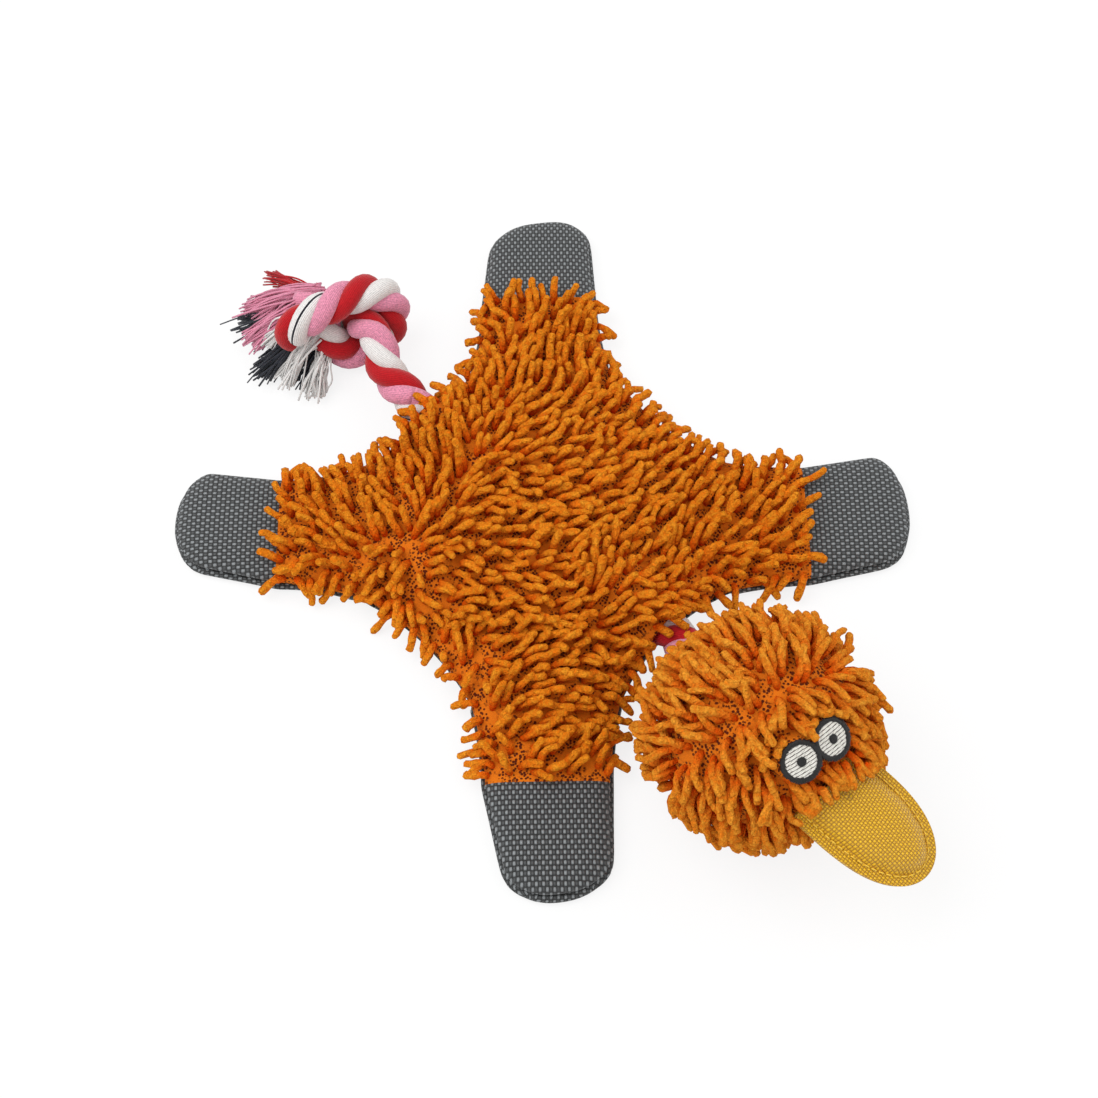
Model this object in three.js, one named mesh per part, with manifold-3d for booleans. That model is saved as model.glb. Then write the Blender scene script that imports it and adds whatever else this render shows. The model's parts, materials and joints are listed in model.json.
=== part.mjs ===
// A squeaky plush duck toy that lies flat on the floor, with its legs spread and a rope through its body.
// Millimetres, +Z up. The duck faces -Y and its left side is +X.
// The origin is on the floor under its belly.
import * as THREE from "three";
import { mergeVertices } from "three/addons/utils/BufferGeometryUtils.js";
import Module from "manifold-3d";

const wasm = await Module();
wasm.setup();

// Clearances and cloth
const gap = 0.3; // between pieces that touch
const foldHalfGap = 0.45; // from a fold line to the cloth on each side of it
const nylonThick = 1.2; // coated nylon with its lining
const hemThick = 0.6; // cloth pressed thin where it is sewn down
const pileDepth = 4.6; // knitted backing and its standing pile
const sidePileDepth = 2.6; // the same along a free side edge
const lockPitch = 14; // from one lock of the pile to the next
const partingShare = 0.7; // of the pile's depth, lost in the partings between the locks
const cutOverrun = 20;
const weld = 0.0001;

// The rope
const ropeRadius = 7.5;
const ropeHeight = 12.5; // its axis above the floor where it runs through the torso
const ropeSides = 14;
const knotRopeRadius = 5.6; // the same rope pulled tight in the knot
const knotArcSides = 4; // on each half of its round section
const knotSteps = 44;
const ropeDomeRings = 4;

// The torso, a four-cornered pad
const foldDistance = 70; // from the origin to each leg's fold line
const foldHalfWidth = 27;
const waistReach = 63; // from the origin to the left and right edges
const endReach = 62; // from the origin to the front and rear edges
const seamHeight = 4; // the cloth's edge seam above the floor
const bellyHemWidth = 12; // where the underside rises to the seam
const archHalfWidth = 20; // of the opening that the rope leaves through
const archSpare = 1; // over the rope's top
const foldColumnShares = [0, 0.25, 0.5, 0.75];
const waistColumnShares = [0, 0.38, 0.66, 0.84]; // closer together where the rope leaves
const torsoRingShares = [0, 0.3, 0.58, 0.8, 0.93, 1];

// The legs, each from its fold line outwards
const rootHalfWidth = 26;
const pawStart = 29; // where the pile ends and the plain paw begins
const pawHalfWidth = 21.5;
const pawReach = 62; // to the corners of the paw's end
const tipHalfWidth = 20.1;
const tipShoulder = 7; // length over which the corners are rounded
const tipBulge = 6; // the middle of the end beyond its corners
const tipBulgePower = 3;
const legRise = 4.4; // crown of the lining over the seam
const rootTaper = 18;
const tipTaper = 46;
const legHemWidth = 9;
const legColumnShares = [-1, -0.82, -0.6, -0.4, -0.2, 0, 0.2, 0.4, 0.6, 0.82, 1];
const pileRowShares = [0, 0.16, 0.33, 0.5, 0.67, 0.84, 1];
const pawRowShares = [0, 0.2, 0.45, 0.7, 0.88, 1];

// The neck and the head
const neckPivotOut = 5; // beyond the torso's front edge
const headX = -12;
const headY = -113;
const headZ = 35.5;
const headRadius = 40;
const headHalfHeight = 36;
const headTurnClear = 2.5; // from the head's surface to the pivot behind it
const headRopeDepth = 9; // of the rope's sewn end inside the head
const headSegments = 36;
const arcSteps = 9;
const plainFaceLift = 34; // degrees, to the middle of the face, where the pile is not parted
const plainFaceSpread = 34; // degrees each way from there

// The squeaker in the head
const cupRadius = 17.5;
const cupDepth = 9;
const bulbWall = 1.2;
const capSlide = 5.5; // how far the cap can be pressed down
const capRest = 2.8; // left between the pressed cap and the cup's rim
const capOverlap = 1.5; // of the cap's skirt over the cup's rim
const capRunningGap = 0.5;
const pocketSideGap = 0.8;
const reedHoleRadius = 2;
const reedTubeWall = 1.2;
const reedTubeLength = 5;
const reedFlangeRadius = 5;
const reedFlangeThick = 1;
const reedWidth = 2.6;
const reedThick = 0.5;
const reedLength = 4.4;
const squeakerSegments = 16;

// The eyes, embroidered discs on the front of the head
const eyeSpacing = 13.5;
const eyePairOffset = -4.4; // towards the duck's right
const eyePairTilt = 9; // degrees, with the duck's right eye the higher
const eyeLift = 53; // degrees above the horizon, seen from the head's middle
const pupilRadius = 1.6;
const whiteRadius = 5.3;
const borderRadius = 6.55;
const eyeThick = 0.8;
const eyeSegments = 16;
const pupilSegments = 6;

// The bill, two stitched nylon panels over a pad
const billHalfWidth = 16.8;
const billLength = 34;
const billRootLift = 9; // above the head's middle
const billRootOffset = -2.5; // towards the duck's right
const billYaw = 8; // degrees towards the duck's left
const billDroop = 19; // degrees below the horizon
const billCrown = 6;
const billKeel = 3.4;
const billRootTaper = 12;
const billSideClear = 1.4; // beside the fold, so that the bill can bend up
const billRowShares = [0, 0.1, 0.25, 0.45, 0.65, 0.8, 0.91, 0.98];
const billColumnShares = [-1, -0.85, -0.55, 0, 0.55, 0.85, 1];
const billOutlinePower = 2.6;

// The tail rope, its knot and the frayed end
const tailPivotOut = 5; // beyond the torso's rear edge
const tailEnd = [2, 86, 16]; // where the free rope meets the knot
const knotPlace = [5, 114];
const knotYaw = 4; // degrees
// Half of the knot's route: along the rope, across it and above the floor.
// The other half is its mirror image.
const knotRoute = [
  [-17, 2, 21],
  [-9, 3.4, 20],
  [-2, 7.2, 15],
  [5, 5.6, 8.4],
  [11, -4.2, 6.6],
  [12.4, -14, 12.6],
  [9.6, -17.2, 22.4],
  [4.6, -11.4, 29.4],
];
const knotTop = 31.4;
const tasselReach = 32;
const tasselRootReach = 3;
const tasselSpread = 62; // degrees each way from its middle
const tasselHeading = 55; // degrees from the rope's line to the duck's right
const tasselRootHeight = 22;
const tasselEndHeight = 9;
const tasselRootFloor = 12;
const tasselRowShares = [0, 0.3, 0.65, 1];
const tasselColumns = 9;

// Colours
const plush = { color: 0xbd590e, roughness: 0.95, metalness: 0 };
const headPlush = { color: 0xc8711a, roughness: 0.95, metalness: 0 };
const greyNylon = { color: 0x535659, roughness: 0.75, metalness: 0 };
const yellowNylon = { color: 0xcaa326, roughness: 0.7, metalness: 0 };
const fibre = { color: 0xf0eee8, roughness: 1, metalness: 0 };
const ropeRed = { color: 0xad2228, roughness: 0.9, metalness: 0 };
const yarnPink = { color: 0xcf7f9a, roughness: 0.95, metalness: 0 };
const threadWhite = { color: 0xe6e4e0, roughness: 0.7, metalness: 0 };
const threadBlack = { color: 0x1c1a1a, roughness: 0.7, metalness: 0 };
const rubber = { color: 0xd9d4c6, roughness: 0.6, metalness: 0 };
const clearPlastic = { color: 0xc9d3d8, roughness: 0.3, metalness: 0 };

const half = 0.5;
const rightAngle = Math.PI / 2;
const degree = Math.PI / 180;
const vec = (x, y, z) => new THREE.Vector3(x, y, z);
const clamp = (x) => Math.min(Math.max(x, 0), 1);
const swell = (share) => clamp(share) * (1 + (1 - clamp(share))); // rises steeply, then levels off
const sink = (share) => (1 - clamp(share)) ** 2; // one at the edge, and nothing past the hem
const mix = THREE.MathUtils.lerp;

// Keeps only the positions, joins equal corners and drops triangles that have closed up.
function closed(geometry) {
  geometry.deleteAttribute("normal");
  geometry.deleteAttribute("uv");
  const merged = mergeVertices(geometry, weld);
  const corners = merged.index.array;
  const kept = [];
  for (let i = 0; i < corners.length; i += 3) {
    const [a, b, c] = corners.subarray(i, i + 3);
    if (a !== b && b !== c && c !== a) kept.push(a, b, c);
  }
  merged.setIndex(kept);
  return merged;
}

function toSolid(geometry) {
  const merged = closed(geometry);
  return new wasm.Manifold(
    new wasm.Mesh({
      numProp: 3,
      vertProperties: new Float32Array(merged.attributes.position.array),
      triVerts: new Uint32Array(merged.index.array),
    }),
  );
}

function fromSolid(solid) {
  const mesh = solid.getMesh();
  const geometry = new THREE.BufferGeometry();
  const positions = [];
  for (let i = 0; i < mesh.numVert; i += 1) {
    positions.push(...mesh.vertProperties.subarray(i * mesh.numProp, i * mesh.numProp + 3));
  }
  geometry.setAttribute("position", new THREE.Float32BufferAttribute(positions, 3));
  geometry.setIndex([...mesh.triVerts]);
  return geometry;
}

const cut = (geometry, tools) =>
  fromSolid(tools.reduce((left, tool) => left.subtract(toSolid(tool)), toSolid(geometry)));

// A closed solid between two grids of points, each a list of rows.
// With round set, the last column joins the first.
function slab(upper, lower, round) {
  const positions = [];
  const triangle = (a, b, c) => [a, b, c].forEach((p) => positions.push(p.x, p.y, p.z));
  const quad = (a, b, c, d) => {
    triangle(a, b, c);
    triangle(a, c, d);
  };
  const lastRow = upper.length - 1;
  const columns = upper[0].length;
  const steps = round ? columns : columns - 1;
  for (let c = 0; c < steps; c += 1) {
    const n = (c + 1) % columns;
    for (let r = 0; r < lastRow; r += 1) {
      quad(upper[r][c], upper[r + 1][c], upper[r + 1][n], upper[r][n]);
      quad(lower[r][c], lower[r][n], lower[r + 1][n], lower[r + 1][c]);
    }
    quad(upper[0][n], lower[0][n], lower[0][c], upper[0][c]);
    quad(upper[lastRow][c], lower[lastRow][c], lower[lastRow][n], upper[lastRow][n]);
  }
  if (!round) {
    for (let r = 0; r < lastRow; r += 1) {
      const far = columns - 1;
      quad(upper[r][0], lower[r][0], lower[r + 1][0], upper[r + 1][0]);
      quad(upper[r + 1][far], lower[r + 1][far], lower[r][far], upper[r][far]);
    }
  }
  const geometry = new THREE.BufferGeometry();
  geometry.setAttribute("position", new THREE.Float32BufferAttribute(positions, 3));
  return closed(geometry);
}

// A turned solid about the Z axis from a closed outline of [radius, height] points.
function turned(outline, segments) {
  const ring = [...outline, outline[0]].map(([radius, height]) => new THREE.Vector2(radius, height));
  const geometry = new THREE.LatheGeometry(ring, segments);
  geometry.rotateX(rightAngle);
  return closed(geometry);
}

// A round bar along a line, with a domed or a flat end at each side.
function ropeBar(from, to, domedStart, domedEnd) {
  const length = from.distanceTo(to);
  const outline = [];
  const dome = (height, turn) => {
    for (let i = 1; i <= ropeDomeRings; i += 1) {
      const angle = (rightAngle * i) / ropeDomeRings;
      const swing = turn < 0 ? rightAngle - angle : angle;
      outline.push([ropeRadius * Math.cos(swing), height + turn * ropeRadius * Math.sin(swing)]);
    }
  };
  if (domedStart) outline.push([0, -ropeRadius]);
  else outline.push([0, 0]);
  if (domedStart) dome(0, -1);
  else outline.push([ropeRadius, 0]);
  outline.push([ropeRadius, length]);
  if (domedEnd) dome(length, 1);
  else outline.push([0, length]);
  const bar = turned(outline, ropeSides);
  const line = to.clone().sub(from).normalize();
  bar.applyQuaternion(new THREE.Quaternion().setFromUnitVectors(vec(0, 0, 1), line));
  bar.translate(from.x, from.y, from.z);
  return bar;
}

function piece(parent, name, geometry, look) {
  const mesh = new THREE.Mesh(geometry, new THREE.MeshStandardMaterial(look));
  mesh.name = name;
  parent.add(mesh);
}

const toy = new THREE.Group();

// The torso's outline, anticlockwise from the duck's left, with the thickness of the pile at each point.
function torsoOutline() {
  const columns = [];
  const outwards = (turn) => vec(Math.cos(turn), Math.sin(turn), 0);
  const corner = (turn, side) =>
    outwards(turn)
      .multiplyScalar(foldDistance - foldHalfGap)
      .addScaledVector(outwards(turn + rightAngle), side * foldHalfWidth);
  const stretch = (from, to, shares, fromPile, toPile) =>
    shares.forEach((share) => {
      columns.push({ at: from.clone().lerp(to, share), pile: mix(fromPile, toPile, share) });
    });
  const cornerShares = [...waistColumnShares.slice(1), 1].reverse().map((share) => 1 - share);
  const reaches = [waistReach, endReach, waistReach, endReach];
  reaches.forEach((reach, quarter) => {
    const turn = quarter * rightAngle;
    const fold = turn + rightAngle * half;
    const middle = outwards(turn).multiplyScalar(reach);
    const next = outwards(turn + rightAngle).multiplyScalar(reaches[(quarter + 1) % reaches.length]);
    stretch(middle, corner(fold, -1), cornerShares, sidePileDepth, hemThick);
    stretch(corner(fold, -1), corner(fold, 1), foldColumnShares, hemThick, hemThick);
    stretch(corner(fold, 1), next, waistColumnShares, hemThick, sidePileDepth);
  });
  return columns;
}

const torsoEdge = torsoOutline();
const liningCrown = ropeHeight + ropeRadius + archSpare;
const pileFoot = seamHeight + gap * half;

// The height of the pelt's lining over a point of the torso, arched over the rope.
function liningHeight(point, share) {
  const pad = mix(pileFoot, liningCrown, swell(1 - share));
  const side = clamp(1 - (point.x / archHalfWidth) ** 2);
  const arch = mix(pileFoot, liningCrown, side * Math.sqrt(side));
  return Math.max(pad, arch);
}

// The underside's outer face: flat on the floor, and rising to the seam at the edge.
const bellyHem = seamHeight - gap * half - hemThick;
const bellyHeight = (inset) => bellyHem * sink(inset / bellyHemWidth);
const bellyTop = (inset) =>
  bellyHeight(inset) + mix(nylonThick, hemThick, bellyHeight(inset) / bellyHem);

// Rings of points from the torso's middle to its edge, with the height of each from a function of its place.
const torsoGrid = (shares, height) =>
  shares.map((share) =>
    torsoEdge.map(({ at, pile }) => {
      const point = at.clone().multiplyScalar(share);
      point.z = height({ point, share, pile, inset: at.distanceTo(point) });
      return point;
    }),
  );

// How much of the pile's depth is left at a point of the cloth, between the middle of a lock and a parting.
// Rows of locks run straight across the toy, every other row set half a lock over.
const lockRepeat = lockPitch * Math.SQRT2;
function lockedPile(x, y, depth) {
  const wave = (at) => Math.cos((Math.PI * 2 * at) / lockRepeat);
  const lock = Math.max(wave(x) * wave(y), 0);
  return hemThick + (depth - hemThick) * mix(1 - partingShare, 1, lock);
}

// Where a point lies between the torso's middle and its edge, and the thickness of the pile at that edge.
function torsoPlace(point) {
  for (let i = 0; i < torsoEdge.length; i += 1) {
    const [a, b] = [torsoEdge[i], torsoEdge[(i + 1) % torsoEdge.length]];
    const span = b.at.x * a.at.y - b.at.y * a.at.x;
    const towardsA = (b.at.x * point.y - b.at.y * point.x) / span;
    const towardsB = (point.x * a.at.y - point.y * a.at.x) / span;
    if (towardsA >= 0 && towardsB >= 0) {
      const share = towardsA + towardsB;
      return { point, share, pile: share > 0 ? mix(a.pile, b.pile, towardsB / share) : 0 };
    }
  }
  return { point, share: 0, pile: 0 };
}

// A block whose top is the pile in its locks, as wide as the torso and deeper.
function torsoLocks(height) {
  const step = lockRepeat / 4;
  const reach = Math.ceil((foldDistance + foldHalfWidth) / step);
  const lines = Array.from({ length: reach * 2 + 1 }, (unused, i) => (i - reach) * step);
  const top = lines.map((x) =>
    lines.map((y) => {
      const point = vec(x, y, 0);
      point.z = height(torsoPlace(point.clone()));
      return point;
    }),
  );
  const foot = top.map((row) => row.map(({ x, y }) => vec(x, y, -cutOverrun)));
  return slab(top, foot);
}

function addTorso(group) {
  const lining = ({ point, share }) => liningHeight(point, share);
  const ridge = ({ share, pile }) => mix(pileDepth, pile, share ** 2);
  const outer = torsoRingShares.at(-2);
  const spareShare = (share) => clamp((outer - share) / (outer - torsoRingShares.at(-4)));
  const spare = (place) => lining(place) + ridge(place) + pileDepth * spareShare(place.share);
  const locks = (place) => lining(place) + lockedPile(place.point.x, place.point.y, ridge(place));
  const space = slab(torsoGrid(torsoRingShares, spare), torsoGrid(torsoRingShares, lining), true);
  const pelt = fromSolid(toSolid(space).intersect(toSolid(torsoLocks(locks))));
  piece(group, "torso_pelt", pelt, plush);

  const upper = torsoGrid(torsoRingShares, ({ inset }) => bellyTop(inset));
  const lower = torsoGrid(torsoRingShares, ({ inset }) => bellyHeight(inset));
  piece(group, "torso_belly", slab(upper, lower, true), greyNylon);

  const shares = torsoRingShares.slice(0, -1);
  const fillTop = torsoGrid(shares, (place) => lining(place) - gap);
  const fillFoot = torsoGrid(shares, ({ inset }) => bellyTop(inset) + gap);
  const channelRadius = ropeRadius + gap;
  const channelLength = (endReach + cutOverrun) * 2;
  const groove = new THREE.CylinderGeometry(channelRadius, channelRadius, channelLength, ropeSides * 2);
  groove.translate(0, 0, ropeHeight);
  const slot = new THREE.BoxGeometry(channelRadius * 2, channelLength, cutOverrun);
  slot.translate(0, 0, ropeHeight + cutOverrun * half);
  piece(group, "torso_wadding", cut(slab(fillTop, fillFoot, true), [groove, slot]), fibre);

  const front = vec(0, -endReach - neckPivotOut + ropeRadius + gap, ropeHeight);
  const rear = vec(0, endReach + tailPivotOut - ropeRadius - gap, ropeHeight);
  piece(group, "rope_torso_run", ropeBar(front, rear, false, false), ropeRed);
}

// A leg in its own frame: X outwards from the fold line, Y to its left, Z up.
function legHalfWidth(reach) {
  if (reach < pawStart) return mix(rootHalfWidth, pawHalfWidth, swell(reach / pawStart));
  const width = mix(pawHalfWidth, tipHalfWidth, (reach - pawStart) / (pawReach - pawStart));
  return width - tipShoulder * half * sink((pawReach - reach) / tipShoulder);
}

function legGrid(reaches, columnShares, height) {
  return reaches.map((reach) => {
    const tip = clamp((reach - pawStart) / (pawReach - pawStart));
    return columnShares.map((side) => {
      const bulge = tipBulge * tip * (1 - Math.abs(side) ** tipBulgePower);
      return vec(reach + bulge, side * legHalfWidth(reach), height(reach, Math.abs(side)));
    });
  });
}

const legSlab = (reaches, columnShares, top, foot) =>
  slab(legGrid(reaches, columnShares, top), legGrid(reaches, columnShares, foot));

const legLining = (reach, side) =>
  pileFoot + legRise * swell(reach / rootTaper) * swell((pawReach - reach) / tipTaper) * swell(1 - side);
const legHem = (reach, side) => {
  const rootRise = sink((reach - foldHalfGap) / legHemWidth);
  const tipRise = sink((pawReach - reach) / legHemWidth);
  return bellyHem * Math.max(rootRise, tipRise, sink(((1 - side) * legHalfWidth(reach)) / legHemWidth));
};
const legFloorTop = (reach, side) =>
  legHem(reach, side) + mix(nylonThick, hemThick, legHem(reach, side) / bellyHem);

function addLeg(parent, place, turnDegrees) {
  const leg = new THREE.Group();
  leg.rotation.z = turnDegrees * degree;
  leg.position.set(foldDistance, 0, 0).applyAxisAngle(vec(0, 0, 1), leg.rotation.z);
  parent.add(leg);

  const spread = (shares, from, to) => shares.map((share) => mix(from, to, share));
  const pileReaches = spread(pileRowShares, foldHalfGap, pawStart);
  const pile = (reach, side) => {
    const edge = mix(sidePileDepth, pileDepth, swell(1 - side));
    const depth = mix(hemThick, edge, swell(reach / rootTaper));
    return legLining(reach, side) + lockedPile(reach, side * legHalfWidth(reach), depth);
  };
  piece(leg, `leg_${place}_pelt`, legSlab(pileReaches, legColumnShares, pile, legLining), plush);

  const pawReaches = spread(pawRowShares, pawStart + gap, pawReach);
  const pawTop = (reach, side) => {
    const inwards = Math.min((1 - side) * legHalfWidth(reach), pawReach - reach);
    return legLining(reach, side) + mix(hemThick, nylonThick, swell(inwards / legHemWidth));
  };
  piece(leg, `leg_${place}_paw_top`, legSlab(pawReaches, legColumnShares, pawTop, legLining), greyNylon);

  const floorReaches = [...pileReaches, ...pawReaches.slice(1)];
  const underside = legSlab(floorReaches, legColumnShares, legFloorTop, legHem);
  piece(leg, `leg_${place}_underside`, underside, greyNylon);

  const fillTop = (reach, side) => legLining(reach, side) - gap;
  const fillFoot = (reach, side) => legFloorTop(reach, side) + gap;
  const fill = legSlab(floorReaches.slice(1, -1), legColumnShares.slice(1, -1), fillTop, fillFoot);
  piece(leg, `leg_${place}_wadding`, fill, fibre);
}

// How far the head's surface lies from its middle, as a multiple of a vector.
const headReach = (v) => 1 / Math.hypot(Math.hypot(v.x, v.y) / headRadius, v.z / headHalfHeight);

// The line of the neck: from its pivot at the torso to the middle of the head.
const neckPivot = vec(0, -endReach - neckPivotOut, ropeHeight);
const headMiddle = vec(headX, headY, headZ);
const neckLine = headMiddle.clone().sub(neckPivot).normalize();
const turnPivot = headMiddle.clone().addScaledVector(neckLine, -headReach(neckLine) - headTurnClear);

const stubStart = turnPivot.clone().addScaledVector(neckLine, ropeRadius + gap);
const stubEnd = stubStart.clone().addScaledVector(neckLine, headRopeDepth);

// The rope's passage into the head, in the head's frame.
function neckBore() {
  const radius = ropeRadius + gap;
  const bore = new THREE.CylinderGeometry(radius, radius, headRadius * 2, ropeSides * 2);
  bore.translate(0, gap - stubEnd.distanceTo(headMiddle) - headRadius, 0);
  bore.applyQuaternion(new THREE.Quaternion().setFromUnitVectors(vec(0, 1, 0), neckLine));
  return bore;
}

const capRadius = cupRadius + capRunningGap + bulbWall;
const pocketRadius = capRadius + pocketSideGap;
const capTop = capRest + capSlide + bulbWall;

// Half of an ellipse from the equator to a pole, as [radius, height] points.
function arc(radius, halfHeight, pole, foot) {
  const curve = new THREE.EllipseCurve(0, 0, radius, halfHeight, Math.asin(foot / halfHeight), rightAngle);
  return curve.getPoints(arcSteps).map((p, i) => [i === arcSteps ? 0 : p.x, p.y * pole]);
}

// A cover of one half of the head, and the stuffing under it.
// pole is 1 for the upper half and -1 for the lower.
const coverFoot = gap * half;
function headCover(pole) {
  const outer = arc(headRadius, headHalfHeight, pole, coverFoot);
  const inner = arc(headRadius - pileDepth, headHalfHeight - pileDepth, pole, coverFoot);
  const flat = outer.map(([radius, height]) => [radius, Math.max(height, -headZ)]);
  const outline = pole > 0 ? [...inner.reverse(), ...flat] : [...flat.reverse(), ...inner];
  return partedPile(turned(outline, headSegments));
}

// Draws the corners of the head's outer face in round each lock of the pile.
// The face, the crown and the underside stay plain.
function partedPile(cover) {
  const face = vec(0, -Math.cos(plainFaceLift * degree), Math.sin(plainFaceLift * degree));
  const corners = cover.attributes.position;
  for (let i = 0; i < corners.count; i += 1) {
    const corner = vec(corners.getX(i), corners.getY(i), corners.getZ(i));
    const outside = corner.length() > headReach(corner.clone().normalize()) - pileDepth * half;
    const column = Math.round((Math.atan2(corner.y, corner.x) / Math.PI / 2) * headSegments);
    const rise = Math.asin(clamp(Math.abs(corner.z) / headHalfHeight));
    const row = Math.round((rise / rightAngle) * arcSteps);
    const lock = row % 2 === 0 && (column + row * half) % 2 === 0;
    if (outside && !lock && corner.angleTo(face) > plainFaceSpread * degree) {
      const depth = partingShare * pileDepth * clamp((Math.hypot(corner.x, corner.y) * 2) / headRadius);
      corner.setLength(corner.length() - depth);
      corners.setXYZ(i, corner.x, corner.y, corner.z);
    }
  }
  return cover;
}

function headStuffing(pole, pocketDepth) {
  const under = pileDepth + gap;
  const outer = arc(headRadius - under, headHalfHeight - under, pole, coverFoot);
  const pocket = [
    [0, pole * pocketDepth],
    [pocketRadius, pole * pocketDepth],
    [pocketRadius, pole * coverFoot],
  ];
  const outline = pole > 0 ? [...pocket, ...outer] : [...outer.reverse(), ...pocket.reverse()];
  return turned(outline, headSegments);
}

// A disc or ring of embroidery on the head, between two radii.
// Its centre is given as a direction from the head's middle.
function eyeRing(centre, inner, outer, segments) {
  const across = vec(0, 0, 1).cross(centre).normalize();
  const upwards = centre.clone().cross(across);
  const grid = (lift) =>
    [inner, outer].map((radius) =>
      Array.from({ length: segments }, (unused, i) => {
        const turn = (Math.PI * 2 * i) / segments;
        const point = centre.clone().multiplyScalar(headRadius);
        point.addScaledVector(across, radius * Math.cos(turn));
        point.addScaledVector(upwards, radius * Math.sin(turn));
        point.normalize();
        const reach = headReach(point);
        return point.multiplyScalar(reach + lift);
      }),
    );
  return slab(grid(gap * 2 + eyeThick), grid(gap * 2), true);
}

function addHead(parent) {
  const head = new THREE.Group();
  head.position.copy(headMiddle);
  parent.add(head);
  const cupFoot = bulbWall + cupDepth;

  piece(head, "head_upper_cover", headCover(1), headPlush);
  piece(head, "head_lower_cover", cut(headCover(-1), [neckBore()]), headPlush);
  piece(head, "head_upper_stuffing", headStuffing(1, capTop + gap), fibre);
  piece(head, "head_lower_stuffing", cut(headStuffing(-1, cupFoot + gap), [neckBore()]), fibre);
  piece(parent, "rope_head_stub", ropeBar(stubStart, stubEnd, false, false), ropeRed);

  const cup = [
    [reedHoleRadius + reedTubeWall + gap, -cupFoot],
    [cupRadius, -cupFoot],
    [cupRadius, 0],
    [cupRadius - bulbWall, 0],
    [cupRadius - bulbWall, -cupDepth],
    [reedHoleRadius + reedTubeWall + gap, -cupDepth],
  ];
  piece(head, "squeaker_cup", turned(cup, squeakerSegments), rubber);
  const cap = [
    [0, capTop - bulbWall],
    [capRadius - bulbWall, capTop - bulbWall],
    [capRadius - bulbWall, -capOverlap],
    [capRadius, -capOverlap],
    [capRadius, capTop],
    [0, capTop],
  ];
  piece(head, "squeaker_cap", turned(cap, squeakerSegments), rubber);
  const flangeFoot = -cupDepth + gap;
  const tube = [
    [reedHoleRadius, -cupFoot],
    [reedHoleRadius + reedTubeWall, -cupFoot],
    [reedHoleRadius + reedTubeWall, flangeFoot],
    [reedFlangeRadius, flangeFoot],
    [reedFlangeRadius, flangeFoot + reedFlangeThick],
    [reedHoleRadius + reedTubeWall, flangeFoot + reedFlangeThick],
    [reedHoleRadius + reedTubeWall, -cupFoot + reedTubeLength],
    [reedHoleRadius, -cupFoot + reedTubeLength],
  ];
  piece(head, "squeaker_reed_tube", turned(tube, squeakerSegments), clearPlastic);
  const reed = new THREE.BoxGeometry(reedWidth, reedThick, reedLength);
  reed.translate(0, 0, -cupFoot + reedTubeLength * half);
  piece(head, "squeaker_reed", closed(reed), clearPlastic);

  for (const side of [-1, 1]) {
    const name = side > 0 ? "left" : "right";
    const ahead = -Math.cos(eyeLift * degree);
    const above = Math.sin(eyeLift * degree);
    const tilt = eyePairTilt * degree;
    const centre = vec(eyePairOffset, ahead * headRadius, above * headRadius);
    centre.addScaledVector(vec(1, 0, 0), side * eyeSpacing * half * Math.cos(tilt));
    centre.addScaledVector(vec(0, -above, ahead), side * eyeSpacing * half * Math.sin(tilt));
    centre.normalize();
    piece(head, `eye_${name}_pupil`, eyeRing(centre, 0, pupilRadius, pupilSegments), threadBlack);
    const white = eyeRing(centre, pupilRadius + gap, whiteRadius, eyeSegments);
    piece(head, `eye_${name}_white`, white, threadWhite);
    const border = eyeRing(centre, whiteRadius + gap, borderRadius, eyeSegments);
    piece(head, `eye_${name}_border`, border, threadBlack);
  }
}

function addBill(parent) {
  const bill = new THREE.Group();
  const lift = billRootLift / headHalfHeight;
  const offset = billRootOffset / headRadius;
  const rootReach = headRadius * Math.sqrt(1 - lift ** 2 - offset ** 2);
  const root = headMiddle.clone().add(vec(billRootOffset, -rootReach - foldHalfGap, billRootLift));
  bill.position.copy(root);
  bill.rotation.set(0, billDroop * degree, billYaw * degree - rightAngle, "ZYX");
  parent.add(bill);
  bill.updateMatrixWorld(true);

  // How far along the bill, at a place across it, the head's surface lies.
  const surfaceAt = (across, height) => {
    let near = -headRadius;
    let far = headRadius;
    const clear = (along) => {
      const point = bill.localToWorld(vec(along, across, height)).sub(headMiddle);
      return headReach(point) < 1;
    };
    while (far - near > weld) {
      const middle = mix(near, far, half);
      if (clear(middle)) far = middle;
      else near = middle;
    }
    return far + foldHalfGap + billSideClear * (across / billHalfWidth) ** 2;
  };
  const halfWidth = (share) => billHalfWidth * Math.sqrt(1 - share ** billOutlinePower);
  const without = (shares, ends) => shares.slice(ends, shares.length - ends);
  const grid = (height, ends) =>
    without(billRowShares, ends).map((share) =>
      without(billColumnShares, ends).map((side) => {
        const across = side * halfWidth(share);
        const lifted = height(share, Math.abs(side));
        return vec(mix(surfaceAt(across, lifted), billLength, share), across, lifted);
      }),
    );
  const puff = (share, side) =>
    swell((share * billLength) / billRootTaper) * swell((1 - share) / half) * swell(1 - side);
  const seam = gap * half;
  const wall = (share, side) => mix(hemThick, nylonThick, puff(share, side));
  const upperFoot = (share, side) => seam + billCrown * puff(share, side);
  const lowerTop = (share, side) => -seam - billKeel * puff(share, side);
  const skin = (height, face) => (share, side) => height(share, side) + face * wall(share, side);
  piece(bill, "bill_upper", slab(grid(skin(upperFoot, 1), 0), grid(upperFoot, 0)), yellowNylon);
  piece(bill, "bill_lower", slab(grid(lowerTop, 0), grid(skin(lowerTop, -1), 0)), yellowNylon);
  const fillTop = (share, side) => upperFoot(share, side) - gap;
  const fillFoot = (share, side) => lowerTop(share, side) + gap;
  piece(bill, "bill_wadding", slab(grid(fillTop, 1), grid(fillFoot, 1)), fibre);
}

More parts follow.
